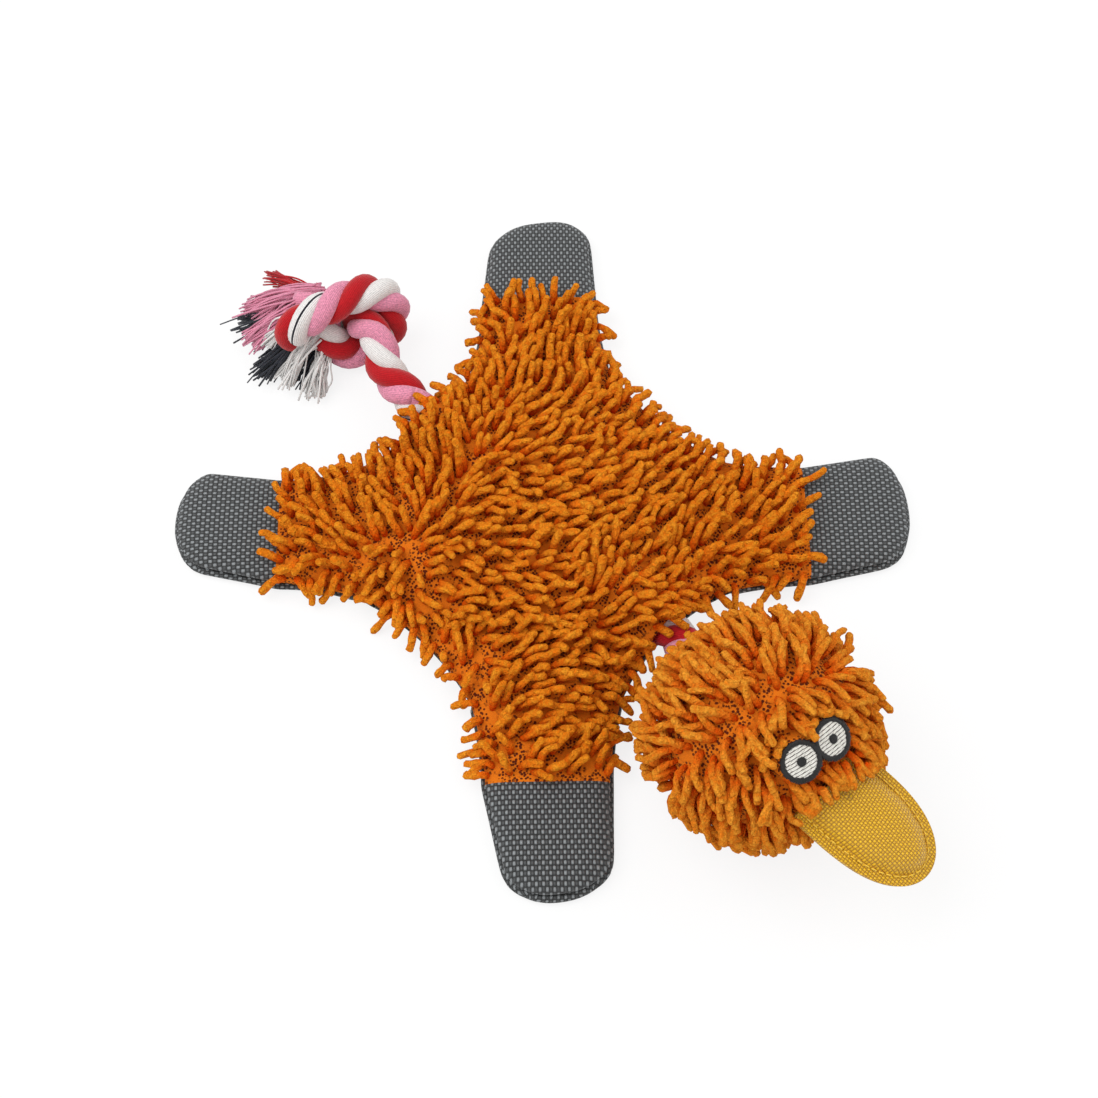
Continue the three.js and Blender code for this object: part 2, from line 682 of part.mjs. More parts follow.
function addTail(parent) {
  const pivot = vec(0, endReach + tailPivotOut, ropeHeight);
  const knotPivot = vec(...tailEnd);
  piece(parent, "rope_tail", ropeBar(pivot, knotPivot, true, true), ropeRed);

  const toToy = (along, across, height) =>
    vec(across, along, 0).applyAxisAngle(vec(0, 0, 1), knotYaw * degree).add(vec(...knotPlace, height));
  const firstHalf = knotRoute.map((p) => toToy(...p));
  const secondHalf = knotRoute.map(([along, across, height]) => toToy(-along, -across, height)).reverse();
  const entry = firstHalf[0].clone().sub(knotPivot).normalize();
  const start = knotPivot.clone().addScaledVector(entry, ropeRadius + gap);
  const stops = [start, ...firstHalf, toToy(0, 0, knotTop), ...secondHalf];
  const route = new THREE.CatmullRomCurve3(stops, false, "centripetal");
  const tube = (radius) => {
    const section = new THREE.Shape();
    section.absarc(0, 0, radius, 0, Math.PI * 2);
    const along = { steps: knotSteps, curveSegments: knotArcSides, extrudePath: route };
    return new THREE.ExtrudeGeometry(section, along);
  };
  piece(parent, "tail_knot", closed(tube(knotRopeRadius)), ropeRed);
  const leastPass = knotClearance(route);
  console.log(`knot: least gap between its passes ${leastPass.toFixed(2)} mm`);

  const end = secondHalf.at(-1);
  const middle = rightAngle + (knotYaw + tasselHeading) * degree;
  const grid = (height) =>
    tasselRowShares.map((share) =>
      Array.from({ length: tasselColumns }, (unused, i) => {
        const turn = middle + mix(-tasselSpread, tasselSpread, i / (tasselColumns - 1)) * degree;
        const reach = mix(tasselRootReach, tasselReach, share);
        return vec(end.x + reach * Math.cos(turn), end.y + reach * Math.sin(turn), height(share));
      }),
    );
  const tassel = slab(
    grid((share) => mix(tasselRootHeight, tasselEndHeight, swell(share))),
    grid((share) => mix(tasselRootFloor, 0, swell(share))),
  );
  piece(parent, "tail_tassel", cut(tassel, [tube(knotRopeRadius + gap)]), yarnPink);
}

// The least gap between two passes of the knot's tube, measured on points of its route.
function knotClearance(route) {
  const length = route.getLength();
  const count = Math.round(length);
  const points = route.getSpacedPoints(count);
  const apart = Math.round(knotRopeRadius * Math.PI);
  let least = Infinity;
  points.forEach((p, i) => {
    points.slice(i + apart).forEach((q) => {
      least = Math.min(least, p.distanceTo(q));
    });
  });
  return least - knotRopeRadius * 2;
}

addTorso(toy);
addLeg(toy, "front_left", -45);
addLeg(toy, "rear_left", 45);
addLeg(toy, "rear_right", 135);
addLeg(toy, "front_right", -135);
piece(toy, "rope_neck", ropeBar(neckPivot, turnPivot, true, true), ropeRed);
addHead(toy);
addBill(toy);
addTail(toy);

export default toy;
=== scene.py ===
"""A flat plush duck for dogs: chenille pelt, nylon paws and bill, and a cotton rope from tail to head."""

import json
import math

import bmesh
import bpy
import numpy as np
from bpy.props import FloatProperty, FloatVectorProperty, IntProperty, PointerProperty
from mathutils import Color, Matrix, Vector, noise
from mathutils.bvhtree import BVHTree


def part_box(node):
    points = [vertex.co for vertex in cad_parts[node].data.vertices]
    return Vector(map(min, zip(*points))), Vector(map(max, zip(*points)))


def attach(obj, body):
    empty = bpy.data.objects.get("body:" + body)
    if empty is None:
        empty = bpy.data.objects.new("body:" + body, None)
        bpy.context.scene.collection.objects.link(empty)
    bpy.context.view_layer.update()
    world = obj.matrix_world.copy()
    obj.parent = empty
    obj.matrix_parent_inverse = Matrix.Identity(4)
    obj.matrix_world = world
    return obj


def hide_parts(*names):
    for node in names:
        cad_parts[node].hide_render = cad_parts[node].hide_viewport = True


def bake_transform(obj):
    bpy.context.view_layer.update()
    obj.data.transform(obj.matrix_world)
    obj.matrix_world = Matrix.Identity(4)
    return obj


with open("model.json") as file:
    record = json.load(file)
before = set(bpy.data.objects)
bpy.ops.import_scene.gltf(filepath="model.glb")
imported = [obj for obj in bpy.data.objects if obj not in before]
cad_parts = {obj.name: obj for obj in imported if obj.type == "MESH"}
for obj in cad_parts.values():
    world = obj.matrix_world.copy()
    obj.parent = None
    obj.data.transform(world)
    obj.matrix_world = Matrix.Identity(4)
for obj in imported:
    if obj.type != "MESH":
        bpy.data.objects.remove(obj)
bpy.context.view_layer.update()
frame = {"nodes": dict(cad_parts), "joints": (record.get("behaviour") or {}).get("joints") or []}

bl_info = {
    "name": "Plush Duck Toy",
    "version": (1, 0, 0),
    "blender": (4, 5, 0),
    "location": "View3D > Sidebar > Plush Duck",
    "description": "Dresses the model of a flat plush duck with its pile, weave, rope and thread",
    "category": "Mesh",
}

MM = 0.001
NODES = frame["nodes"]
JOINTS = {joint["name"]: joint for joint in frame["joints"]}
LEG_PLACES = ("front_right", "front_left", "rear_left", "rear_right")  # anticlockwise, seen from above
UP = Vector((0, 0, 1))


def pivot(name):
    return Vector(JOINTS[name]["pos_m"])


def axes_matrix(place, along, across, above):
    """The matrix of a local frame from its origin and its three axes."""
    turn = Matrix((along, across, above)).transposed().to_4x4()
    return Matrix.Translation(place) @ turn


def leg_frame(place):
    """A leg's frame: X outwards from its fold line, Y to its left, Z up from the floor."""
    fold = pivot(f"leg_{place}_fold")
    out = Vector((fold.x, fold.y, 0)).normalized()
    return axes_matrix((fold.x, fold.y, 0), out, UP.cross(out), UP)


LEG_FRAMES = {place: leg_frame(place) for place in LEG_PLACES}


def swell(share):
    """Rises steeply from zero, then levels off at one."""
    share = min(max(share, 0.0), 1.0)
    return share * (2 - share)


def mix(a, b, share):
    return a + (b - a) * share


def smooth(share):
    share = np.clip(share, 0.0, 1.0)
    return share * share * (3 - 2 * share)


def placed(points, matrix):
    """Rows of points, moved by a matrix."""
    matrix = np.array(matrix)
    return points @ matrix[:3, :3].T + matrix[:3, 3]


def rows_of(vectors):
    return np.array([tuple(vector) for vector in vectors])


def finished(name, work):
    """The mesh of a bmesh, which is freed."""
    mesh = bpy.data.meshes.new(name)
    work.to_mesh(mesh)
    work.free()
    return mesh


def corner_key(part, count):
    """A number for an edge or a face from its lowest corners, out of a count of corners."""
    key = 0
    for index in sorted(vert.index for vert in part.verts)[:3]:
        key = key * count + index
    return key


def put_in_order(work):
    """Rebuilds a bmesh with its edges and faces in the order of their corners. Blender's extrusion adds them
    in an order that changes from run to run."""
    work.verts.index_update()
    count = len(work.verts)
    for parts in (work.edges, work.faces):
        parts.sort(key=lambda part: corner_key(part, count))
    mesh = bpy.data.meshes.new("ordered")
    work.to_mesh(mesh)
    work.clear()
    work.from_mesh(mesh)
    bpy.data.meshes.remove(mesh)


def size(name, description, default):
    return FloatProperty(name=name, description=description, default=default, unit="LENGTH")


def paint(name, description, default):
    return FloatVectorProperty(
        name=name, description=description, default=default, subtype="COLOR_GAMMA", min=0, max=1
    )


class ClothSizes(bpy.types.PropertyGroup):
    seam_height: size("Seam height", "Height of the edge seam above the floor", 4 * MM)
    root_half_width: size("Leg root", "Half of a leg's width at its fold", 26.5 * MM)
    paw_half_width: size("Paw width", "Half of a paw's width where the pile ends", 21.5 * MM)
    tip_half_width: size("Tip width", "Half of a paw's width at its end", 20.1 * MM)
    paw_start: size("Paw start", "From the fold line to the end of the pile", 29 * MM)
    paw_reach: size("Paw reach", "From the fold line to the corners of the paw", 62 * MM)
    tip_shoulder: size("Tip shoulder", "Length over which a paw's corners are rounded", 6 * MM)
    tip_bulge: size("Tip bulge", "How far the middle of a paw's end runs past its corners", 6 * MM)
    bend: size("Bend", "Half of the length over which the cloth bends at a fold", 7 * MM)
    bridge: size("Bridge", "Half of the length that is smoothed over at a fold", 14 * MM)
    thickness: size("Thickness", "Thickness of the cloth", 0.8 * MM)


class PileSizes(bpy.types.PropertyGroup):
    length: size("Length", "Length of a noodle of the pile", 11.6 * MM)
    radius: size("Radius", "Half of a noodle's thickness", 1.48 * MM)
    pitch: size("Pitch", "From one noodle to the next in its row", 4.4 * MM)
    row_pitch: size("Row pitch", "From one row of noodles to the next", 5.1 * MM)
    head_pitch: size("Head pitch", "From one noodle of the head to the next", 4.15 * MM)
    rings: IntProperty(name="Rings", description="Rings along a noodle", default=8)
    sides: IntProperty(name="Sides", description="Sides round a noodle", default=6)


class RopeSizes(bpy.types.PropertyGroup):
    diameter: size("Diameter", "Thickness of the rope", 15 * MM)
    strand_radius: size("Strand radius", "Half of a strand's thickness", 4 * MM)
    pitch: size("Lay", "Length of rope in which a strand goes round once", 30 * MM)
    yarn_radius: size("Yarn radius", "Half of a loose yarn's thickness", 0.38 * MM)


class EyeSizes(bpy.types.PropertyGroup):
    thread_radius: size("Thread radius", "Half of an embroidery thread's thickness", 0.24 * MM)


class BillSizes(bpy.types.PropertyGroup):
    half_width: size("Half width", "Half of the bill's width at its root", 16.8 * MM)
    length: size("Length", "From the line where the bill bends to its tip", 34 * MM)
    side: size("Side", "From the line where the bill bends back to its root", 14 * MM)
    crown: size("Crown", "Rise of the upper panel over the seam", 6 * MM)
    keel: size("Keel", "Drop of the lower panel under the seam", 3.6 * MM)
    rim: size("Rim", "Width of the flat stitched edge", 4.2 * MM)


class Colours(bpy.types.PropertyGroup):
    plush: paint("Plush", "Body pile", (1.0, 0.62, 0.15))
    head_plush: paint("Head plush", "Head pile", (1.0, 0.645, 0.20))
    backing: paint("Backing", "Knitted backing", (0.84, 0.44, 0.07))
    grey: paint("Grey nylon", "Paws and underside", (0.335, 0.345, 0.35))
    yellow: paint("Yellow nylon", "Bill", (0.90, 0.70, 0.05))
    red: paint("Red cotton", "Red strand", (0.72, 0.10, 0.13))
    pink: paint("Pink cotton", "Pink strand", (0.87, 0.56, 0.66))
    white: paint("White cotton", "White strand", (0.90, 0.89, 0.88))
    charcoal: paint("Charcoal cotton", "Dark yarns", (0.19, 0.20, 0.23))


def sizes(name):
    return getattr(bpy.context.scene, f"duck_{name}")


def linear(colour):
    """A colour as it is seen, as the shader's linear colour."""
    return (*Color(tuple(colour)[:3]).from_srgb_to_scene_linear(), 1.0)


def toned(colour, factor):
    return tuple(min(1.0, channel * factor) for channel in tuple(colour)[:3])


WHITE = (1.0, 1.0, 1.0)
PLUSH_SHEEN = (1.0, 0.62, 0.15)


class Finish:
    """A material and short ways to add the nodes that the finishes share."""

    def __init__(self, name, roughness, specular=0.3, sheen=0.0, sheen_tint=WHITE):
        self.material = bpy.data.materials.new(name)
        self.material.use_nodes = True
        self.nodes = self.material.node_tree.nodes
        self.surface = self.nodes["Principled BSDF"]
        self.put(self.surface.inputs["Roughness"], roughness)
        self.put(self.surface.inputs["Specular IOR Level"], specular)
        self.put(self.surface.inputs["Sheen Weight"], sheen)
        self.put(self.surface.inputs["Sheen Roughness"], 0.45)
        self.put(self.surface.inputs["Sheen Tint"], linear(sheen_tint))

    def put(self, socket, value):
        if isinstance(value, bpy.types.NodeSocket):
            self.material.node_tree.links.new(value, socket)
        else:
            socket.default_value = value

    def add(self, kind, named=None, **settings):
        node = self.nodes.new("ShaderNode" + kind)
        for key, value in settings.items():
            setattr(node, key, value)
        for key, value in (named or {}).items():
            self.put(node.inputs[key], value)
        return node

    def math(self, operation, *values):
        return self.add("Math", dict(enumerate(values)), operation=operation).outputs[0]

    def attribute(self, name, output="Vector"):
        return self.add("Attribute", attribute_name=name).outputs[output]

    def noise(self, place, scale, detail=2.0):
        named = {"Vector": place, "Scale": scale, "Detail": detail}
        return self.add("TexNoise", named).outputs["Fac"]

    def ramp(self, factor, stops):
        node = self.add("ValToRGB", {"Fac": factor})
        elements = node.color_ramp.elements
        while len(elements) < len(stops):
            elements.new(0.5)
        for element, (position, colour) in zip(elements, stops):
            element.position = position
            element.color = linear(colour)
        return node.outputs["Color"]

    def grey_ramp(self, factor, low, high):
        named = {"Value": factor, "From Min": low, "From Max": high}
        return self.add("MapRange", named, interpolation_type="SMOOTHSTEP").outputs[0]

    def mix(self, factor, a, b, blend="MIX"):
        node = self.add("Mix", data_type="RGBA", blend_type=blend)
        for index, value in ((0, factor), (6, a), (7, b)):
            self.put(node.inputs[index], value)
        return node.outputs[2]

    def between(self, factor, low, high):
        """A colour between two that are given as they are seen."""
        return self.mix(factor, linear(low), linear(high))

    def tinted(self, colour, tint):
        return self.mix(1.0, colour, tint, "MULTIPLY")

    def colour(self, value):
        self.put(self.surface.inputs["Base Color"], value)

    def bump(self, height, strength, distance):
        named = {"Height": height, "Strength": strength, "Distance": distance}
        self.put(self.surface.inputs["Normal"], self.add("Bump", named).outputs["Normal"])


def pile_finish(name, colour):
    """Chenille: soft lumps, a fine nap, and painted shade that darkens and reddens each noodle towards its
    root.
    """
    finish = Finish(name, 0.95, specular=0.05, sheen=0.3, sheen_tint=PLUSH_SHEEN)
    place = finish.attribute("rest")
    lumps = finish.grey_ramp(finish.noise(place, 520.0), 0.3, 0.7)
    nap = finish.grey_ramp(finish.noise(place, 1300.0, 4.0), 0.32, 0.68)
    grain = finish.between(nap, toned(colour, 0.88), colour)
    patches = finish.between(lumps, (0.96, 0.83, 0.70), (1.0, 1.03, 1.05))
    tone = finish.between(finish.attribute("shade", "Fac"), (0.97, 0.93, 0.86), WHITE)
    toned_grain = finish.tinted(finish.tinted(grain, patches), tone)
    # painted shade: the noodles are darker and redder towards their roots, where shade falls between them
    along = finish.grey_ramp(finish.attribute("along", "Fac"), 0.0, 0.7)
    finish.colour(finish.tinted(toned_grain, finish.between(along, (1.0, 0.63, 0.33), WHITE)))
    height = finish.math("ADD", lumps, finish.math("MULTIPLY", nap, 0.35))
    finish.bump(height, 1.0, 0.9 * MM)
    return finish.material


def backing_finish(name, colour):
    """Warp-knitted backing, orange with rows of small holes, painted dark for the shade inside them."""
    finish = Finish(name, 0.9, specular=0.15, sheen=0.2, sheen_tint=(1.0, 0.7, 0.35))
    place = finish.attribute("rest")
    named = {"Vector": place, "Scale": 880.0, "Randomness": 0.8}
    distance = finish.add("TexVoronoi", named, feature="F1").outputs["Distance"]
    opened = finish.grey_ramp(distance, 0.34, 0.5)
    closed = finish.grey_ramp(finish.noise(place, 170.0), 0.5, 0.62)
    knit_and_hole_shade = finish.math("MAXIMUM", opened, closed)
    yarn = finish.between(finish.noise(place, 3000.0), toned(colour, 0.85), toned(colour, 1.15))
    # painted shade: the knit's holes get a dark red-brown for the shade inside them
    finish.colour(finish.mix(knit_and_hole_shade, linear((0.36, 0.12, 0.04)), yarn))
    finish.bump(knit_and_hole_shade, 0.9, 0.5 * MM)
    return finish.material


def weave_finish(name, stops, across, along, gloss):
    """Plain weave of flat yarns. The attribute weave holds the cloth's own coordinates in metres."""
    finish = Finish(name, gloss, specular=0.45, sheen=0.1)
    cloth = finish.add("SeparateXYZ", {0: finish.attribute("weave")})
    waves = [
        finish.math("SINE", finish.math("MULTIPLY", cloth.outputs[axis], math.pi / pitch))
        for axis, pitch in ((0, along), (1, across))
    ]
    product = finish.math("MULTIPLY", waves[0], waves[1])
    place = finish.attribute("rest")
    uneven = finish.math("MULTIPLY", finish.math("SUBTRACT", finish.noise(place, 450.0), 0.5), 0.35)
    over = finish.math("MULTIPLY_ADD", finish.math("ADD", product, uneven), 0.5, 0.5)
    # the stops carry painted light: painted shade in the gaps between yarns and painted highlights on the
    # yarns
    finish.colour(finish.ramp(over, stops))
    puff = finish.math("POWER", finish.math("ABSOLUTE", product), 0.5)
    fine = finish.math("MULTIPLY", finish.noise(place, 4200.0), 0.12)
    finish.bump(finish.math("ADD", puff, fine), 0.9, 0.45 * MM)
    return finish.material


def grey_weave(name, grey):
    # painted shade in the gaps between yarns (0.44 and 0.30) and painted highlights on the weft dots (1.35
    # and 1.62), round the warp's plain grey
    stops = (
        (0.0, toned(grey, 0.84)),
        (0.38, toned(grey, 0.44)),
        (0.55, toned(grey, 0.30)),
        (0.72, toned(grey, 1.35)),
        (1.0, toned(grey, 1.62)),
    )
    return weave_finish(name, stops, 1.25 * MM, 1.76 * MM, 0.6)


def yellow_weave(name, yellow):
    # painted shade in the grooves between the puffs (the two darker oranges) and a painted highlight on
    # their tops (1.08), round the plain yellow
    stops = (
        (0.0, toned(yellow, 0.98)),
        (0.4, (0.80, 0.57, 0.03)),
        (0.5, (0.68, 0.45, 0.02)),
        (0.62, toned(yellow, 0.98)),
        (1.0, toned(yellow, 1.08)),
    )
    return weave_finish(name, stops, 0.95 * MM, 1.12 * MM, 0.42)


YARNS_ROUND = 34  # yarns round a strand
YARN_CLIMB = 60 * MM  # length of strand in which a yarn goes round it once
MARK_WIDTH = 0.1  # radians, half of the dark yarn in the white strand
MARK_TURN = 1.4  # radians round the strand


def cotton_finish(name, colour, mottle, marked=False):
    """Spun cotton: fine yarns that run round the strand, nearly straight along the rope, with painted shade
    in the grooves between them.
    """
    finish = Finish(name, 0.9, specular=0.15, sheen=0.25)
    lay = finish.add("SeparateXYZ", {0: finish.attribute("lay")})
    turn = finish.math("ARCTAN2", lay.outputs[1], lay.outputs[0])
    climb = finish.math("MULTIPLY", lay.outputs[2], 2 * math.pi / YARN_CLIMB)
    round_share = finish.math("SUBTRACT", turn, climb)
    phase = finish.math("MULTIPLY", round_share, YARNS_ROUND)
    yarn = finish.math("ABSOLUTE", finish.math("SINE", finish.math("MULTIPLY", phase, 0.5)))
    place = finish.attribute("rest")
    speck = finish.grey_ramp(finish.noise(place, 1400.0, 5.0), 0.25, 0.75)
    tint = finish.between(speck, toned(colour, 1 - mottle), toned(colour, 1 + mottle))
    groove_shade = finish.grey_ramp(yarn, 0.0, 0.6)
    # painted shade: the cotton is darker in the grooves between its yarns
    cotton = finish.tinted(tint, finish.between(groove_shade, (0.83, 0.80, 0.80), WHITE))
    if marked:
        wrapped = finish.math("PINGPONG", finish.math("ADD", round_share, MARK_TURN), math.pi)
        mark = finish.grey_ramp(wrapped, MARK_WIDTH, MARK_WIDTH * 1.3)
        cotton = finish.mix(mark, linear((0.13, 0.13, 0.16)), cotton)
    finish.colour(cotton)
    height = finish.math("ADD", yarn, finish.math("MULTIPLY", speck, 0.5))
    finish.bump(height, 0.5, 0.25 * MM)
    return finish.material


def yarn_finish(name, colour, mottle):
    """A single spun yarn."""
    finish = Finish(name, 0.9, specular=0.15, sheen=0.2)
    speck = finish.noise(finish.attribute("rest"), 1800.0, 3.0)
    tint = finish.between(speck, toned(colour, 1 - mottle), toned(colour, 1 + mottle))
    tone = finish.between(finish.attribute("shade", "Fac"), (0.84, 0.84, 0.84), WHITE)
    finish.colour(finish.tinted(tint, tone))
    finish.bump(speck, 0.4, 0.15 * MM)
    return finish.material


def thread_finish(name, colour):
    """Embroidery thread with a satin gloss."""
    finish = Finish(name, 0.4, specular=0.4, sheen=0.1)
    speck = finish.noise(finish.attribute("rest"), 3500.0, 2.0)
    finish.colour(finish.between(speck, toned(colour, 0.9), toned(colour, 1.05)))
    finish.bump(speck, 0.3, 0.08 * MM)
    return finish.material


def moulded_finish(name, colour, roughness):
    """Moulded plastic with a faint uneven gloss."""
    finish = Finish(name, roughness, specular=0.5)
    place = finish.add("TexCoord").outputs["Object"]
    cloud = finish.noise(place, 160.0)
    finish.colour(finish.between(cloud, toned(colour, 0.94), toned(colour, 1.03)))
    finish.bump(finish.noise(place, 900.0), 0.1, 0.1 * MM)
    return finish.material


def fibre_finish(name):
    """Loose polyester fibre."""
    finish = Finish(name, 1.0, specular=0.1, sheen=0.3)
    place = finish.add("TexCoord").outputs["Object"]
    fibres = finish.noise(place, 700.0, 6.0)
    finish.colour(finish.between(fibres, (0.80, 0.79, 0.77), (0.95, 0.94, 0.92)))
    finish.bump(fibres, 1.0, 1.0 * MM)
    return finish.material


def kept(name, make, *settings):
    """A material by its name, made once. No material of the model that is dressed has one of these names."""
    return bpy.data.materials.get(name) or make(name, *settings)


def add_object(name, mesh, materials, body=None, replaced=()):
    """Links a finished mesh as a piece of the toy."""
    piece = bpy.data.objects.new(name, mesh)
    bpy.context.scene.collection.objects.link(piece)
    for material in materials:
        mesh.materials.append(material)
    mesh.shade_smooth()
    if body:
        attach(piece, body)
    if replaced:
        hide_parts(*replaced)
    return piece


def store(mesh, name, values, kind):
    """Writes one value for each vertex into an attribute that the materials read."""
    attribute = mesh.attributes.new(name, kind, "POINT")
    key = "vector" if kind == "FLOAT_VECTOR" else "value"
    attribute.data.foreach_set(key, np.asarray(values, np.float32).ravel())


def places_of(mesh):
    flat = np.zeros(len(mesh.vertices) * 3, np.float32)
    mesh.vertices.foreach_get("co", flat)
    return flat.reshape(-1, 3).astype(float)


def store_rest(mesh):
    store(mesh, "rest", places_of(mesh), "FLOAT_VECTOR")


def unit(vectors):
    return vectors / np.maximum(np.linalg.norm(vectors, axis=-1, keepdims=True), 1e-12)


def tube_template(rings, sides):
    """A straight capped tube of radius 1 with one ring of vertices at each whole height."""
    tube = bmesh.new()
    bmesh.ops.create_circle(tube, segments=sides, radius=1)
    edges = tube.edges[:]
    for _ in range(rings - 1):
        grown = bmesh.ops.extrude_edge_only(tube, edges=edges)["geom"]
        ring = [part for part in grown if isinstance(part, bmesh.types.BMVert)]
        edges = [part for part in grown if isinstance(part, bmesh.types.BMEdge)]
        bmesh.ops.translate(tube, verts=ring, vec=UP)
    ends = [edge for edge in tube.edges if edge.is_boundary]
    bmesh.ops.edgeloop_fill(tube, edges=ends)
    bmesh.ops.recalc_face_normals(tube, faces=tube.faces)
    put_in_order(tube)
    return finished("tube_template", tube)


def cross_frames(paths):
    """Two directions across each point of each path, carried along it without twist."""
    tangents = unit(np.gradient(paths, axis=1))
    first = np.zeros_like(paths)
    helper = np.where(np.abs(tangents[:, 0, 2:3]) < 0.9, [[0.0, 0.0, 1.0]], [[1.0, 0.0, 0.0]])
    first[:, 0] = unit(np.cross(helper, tangents[:, 0]))
    for i in range(1, paths.shape[1]):
        carried = first[:, i - 1]
        lean = np.sum(carried * tangents[:, i], axis=1, keepdims=True)
        first[:, i] = unit(carried - lean * tangents[:, i])
    return first, np.cross(tangents, first)


RAGGED_SHARE = 0.17  # of a noodle's radius, by which its surface stands in or out


def strand_mesh(
    name, paths, radii, sides, shades=None, material_of=None, frames=None, ragged=None, begun=0.0
):
    """One mesh of many round strands. paths holds a row of points for each, and radii its radius at each.
    ragged is the source of random numbers for uneven strands, and begun is the length before each start."""
    count, rings = paths.shape[:2]
    template = tube_template(rings, sides)
    shape = places_of(template)
    ring = np.rint(shape[:, 2]).astype(int)
    across, above = frames or cross_frames(paths)
    reach = radii[:, ring, None]
    if ragged is not None:
        uneven = ragged.uniform(-RAGGED_SHARE, RAGGED_SHARE, (count, len(shape)))
        reach = reach * (1 + uneven[..., None])
    places = paths[:, ring] + reach * (
        shape[:, 0, None] * across[:, ring] + shape[:, 1, None] * above[:, ring]
    )
    joined = bmesh.new()
    for _ in range(count):
        joined.from_mesh(template)
    mesh = finished(name, joined)
    mesh.vertices.foreach_set("co", places.astype(np.float32).ravel())
    gone = np.stack([travelled(path) for path in paths]) + begun
    turns = np.broadcast_to(shape[:, :2], (count, len(shape), 2))
    lay = np.concatenate([turns, gone[:, ring, None]], axis=2)
    store_rest(mesh)
    store(mesh, "lay", lay, "FLOAT_VECTOR")
    store(mesh, "along", np.tile(ring / (rings - 1), count), "FLOAT")
    shades = np.ones(count) if shades is None else shades
    store(mesh, "shade", np.repeat(shades, len(shape)), "FLOAT")
    if material_of is not None:
        faces = len(template.polygons)
        mesh.polygons.foreach_set("material_index", np.repeat(material_of, faces).astype(np.int32))
    mesh.update()
    bpy.data.meshes.remove(template)
    return mesh


SPANS = (((0, 1), (1, 2), (2, 3)), ((0, 2), (1, 3)), ((1, 2),))  # of the knots of a centripetal curve
CURVE_PARTS = 12  # between two stops


def route_line(stops, step):
    """Points a step apart on a smooth curve through the stops."""
    stops = [Vector(stop) for stop in stops]
    chain = [stops[0] * 2 - stops[1], *stops, stops[-1] * 2 - stops[-2]]
    points = []
    for four in zip(chain, chain[1:], chain[2:], chain[3:]):
        knots = [0.0]
        for a, b in zip(four, four[1:]):
            knots.append(knots[-1] + math.sqrt((b - a).length))
        for part in range(CURVE_PARTS):
            at = mix(knots[1], knots[2], part / CURVE_PARTS)
            row = four
            for spans in SPANS:
                row = [
                    a.lerp(b, (at - knots[i]) / (knots[j] - knots[i]))
                    for a, b, (i, j) in zip(row, row[1:], spans)
                ]
            points.append(row[0])
    points.append(stops[-1])
    line = rows_of(points)
    gone = travelled(line)
    at = np.linspace(0, gone[-1], round(gone[-1] / step) + 1)
    return along_line(at, gone, line)


def along_line(at, gone, line):
    """The points of a line at given values of gone, which rises along it."""
    return np.stack([np.interp(at, gone, line[:, k]) for k in range(3)], axis=1)


def travelled(line):
    """How far along a line each of its points lies."""
    return np.concatenate([[0.0], np.cumsum(np.linalg.norm(np.diff(line, axis=0), axis=1))])


# The rope's route, in millimetres. It leaves the torso at the rear. The knot's halves mirror each other.
TAIL_START = (0, 62, 12.5)
TAIL_END = (2, 86, 16)
KNOT_PLACE = (5, 114)
KNOT_YAW = math.radians(4)
KNOT_ROUTE = (
    (-17, 2, 21),
    (-9, 3.4, 20),
    (-2, 7.2, 15),
    (5, 5.6, 8.4),
    (11, -4.2, 6.6),
    (12.4, -14, 12.6),
    (9.6, -17.2, 22.4),
    (4.6, -11.4, 29.4),
)
KNOT_TOP = 31.4
TAIL_BEFORE = 4  # how far inside the torso the tail's strands are first laid
TAIL_STEP = 1.4 * MM


def knot_point(along, across, height):
    flat = Matrix.Rotation(KNOT_YAW, 4, "Z") @ Vector((across, along, 0))
    return flat + Vector((*KNOT_PLACE, height))


def tail_line():
    """The middle of the tail rope, from the torso through the knot to where it frays."""
    first = [knot_point(*stop) for stop in KNOT_ROUTE]
    second = [knot_point(-along, -across, height) for along, across, height in KNOT_ROUTE]
    middle = Vector(TAIL_START).lerp(Vector(TAIL_END), 0.5)
    before = Vector(TAIL_START) - Vector((0, TAIL_BEFORE, 0))
    stops = [before, TAIL_START, middle, TAIL_END, *first, knot_point(0, 0, KNOT_TOP), *reversed(second)]
    return route_line([Vector(stop) * MM for stop in stops], TAIL_STEP)


STRANDS = 3
STRAND_SIDES = 12
ROPE_CLEAR = 0.1 * MM  # over the floor


def rope_mesh(name, line, turn, part=slice(None), squeeze=None, order=(0, 1, 2)):
    """Three strands laid round a line of points with a left-hand twist. turn is the angle at its start,
    and order the strands' cottons."""
    rope = sizes("rope")
    squeeze = np.ones(len(line)) if squeeze is None else squeeze
    first, second = (axis[0] for axis in cross_frames(line[None]))
    turns = turn - 2 * math.pi * travelled(line) / rope.pitch
    offset = (rope.diameter / 2 - rope.strand_radius) * squeeze[:, None]
    out = [
        np.cos(turns + k)[:, None] * first + np.sin(turns + k)[:, None] * second
        for k in np.arange(STRANDS) * 2 * math.pi / STRANDS
    ]
    paths = np.stack([line + offset * way for way in out])
    tangents = unit(np.gradient(paths, axis=1))
    out = np.stack(out)
    out = unit(out - np.sum(out * tangents, axis=2, keepdims=True) * tangents)
    above = np.cross(tangents, out)
    radii = np.tile(rope.strand_radius * squeeze, (STRANDS, 1))
    paths[..., 2] = np.maximum(paths[..., 2], radii + ROPE_CLEAR)
    frames = (out[:, part], above[:, part])
    begun = np.stack([travelled(path) for path in paths])[:, part][:, :1]
    paths, radii = paths[:, part], radii[:, part]
    return strand_mesh(name, paths, radii, STRAND_SIDES, material_of=order, frames=frames, begun=begun)


def cottons():
    colours = sizes("colours")
    return [
        kept("white_cotton", cotton_finish, colours.white, 0.05, True),
        kept("pink_cotton", cotton_finish, colours.pink, 0.11),
        kept("red_cotton", cotton_finish, colours.red, 0.06),
    ]


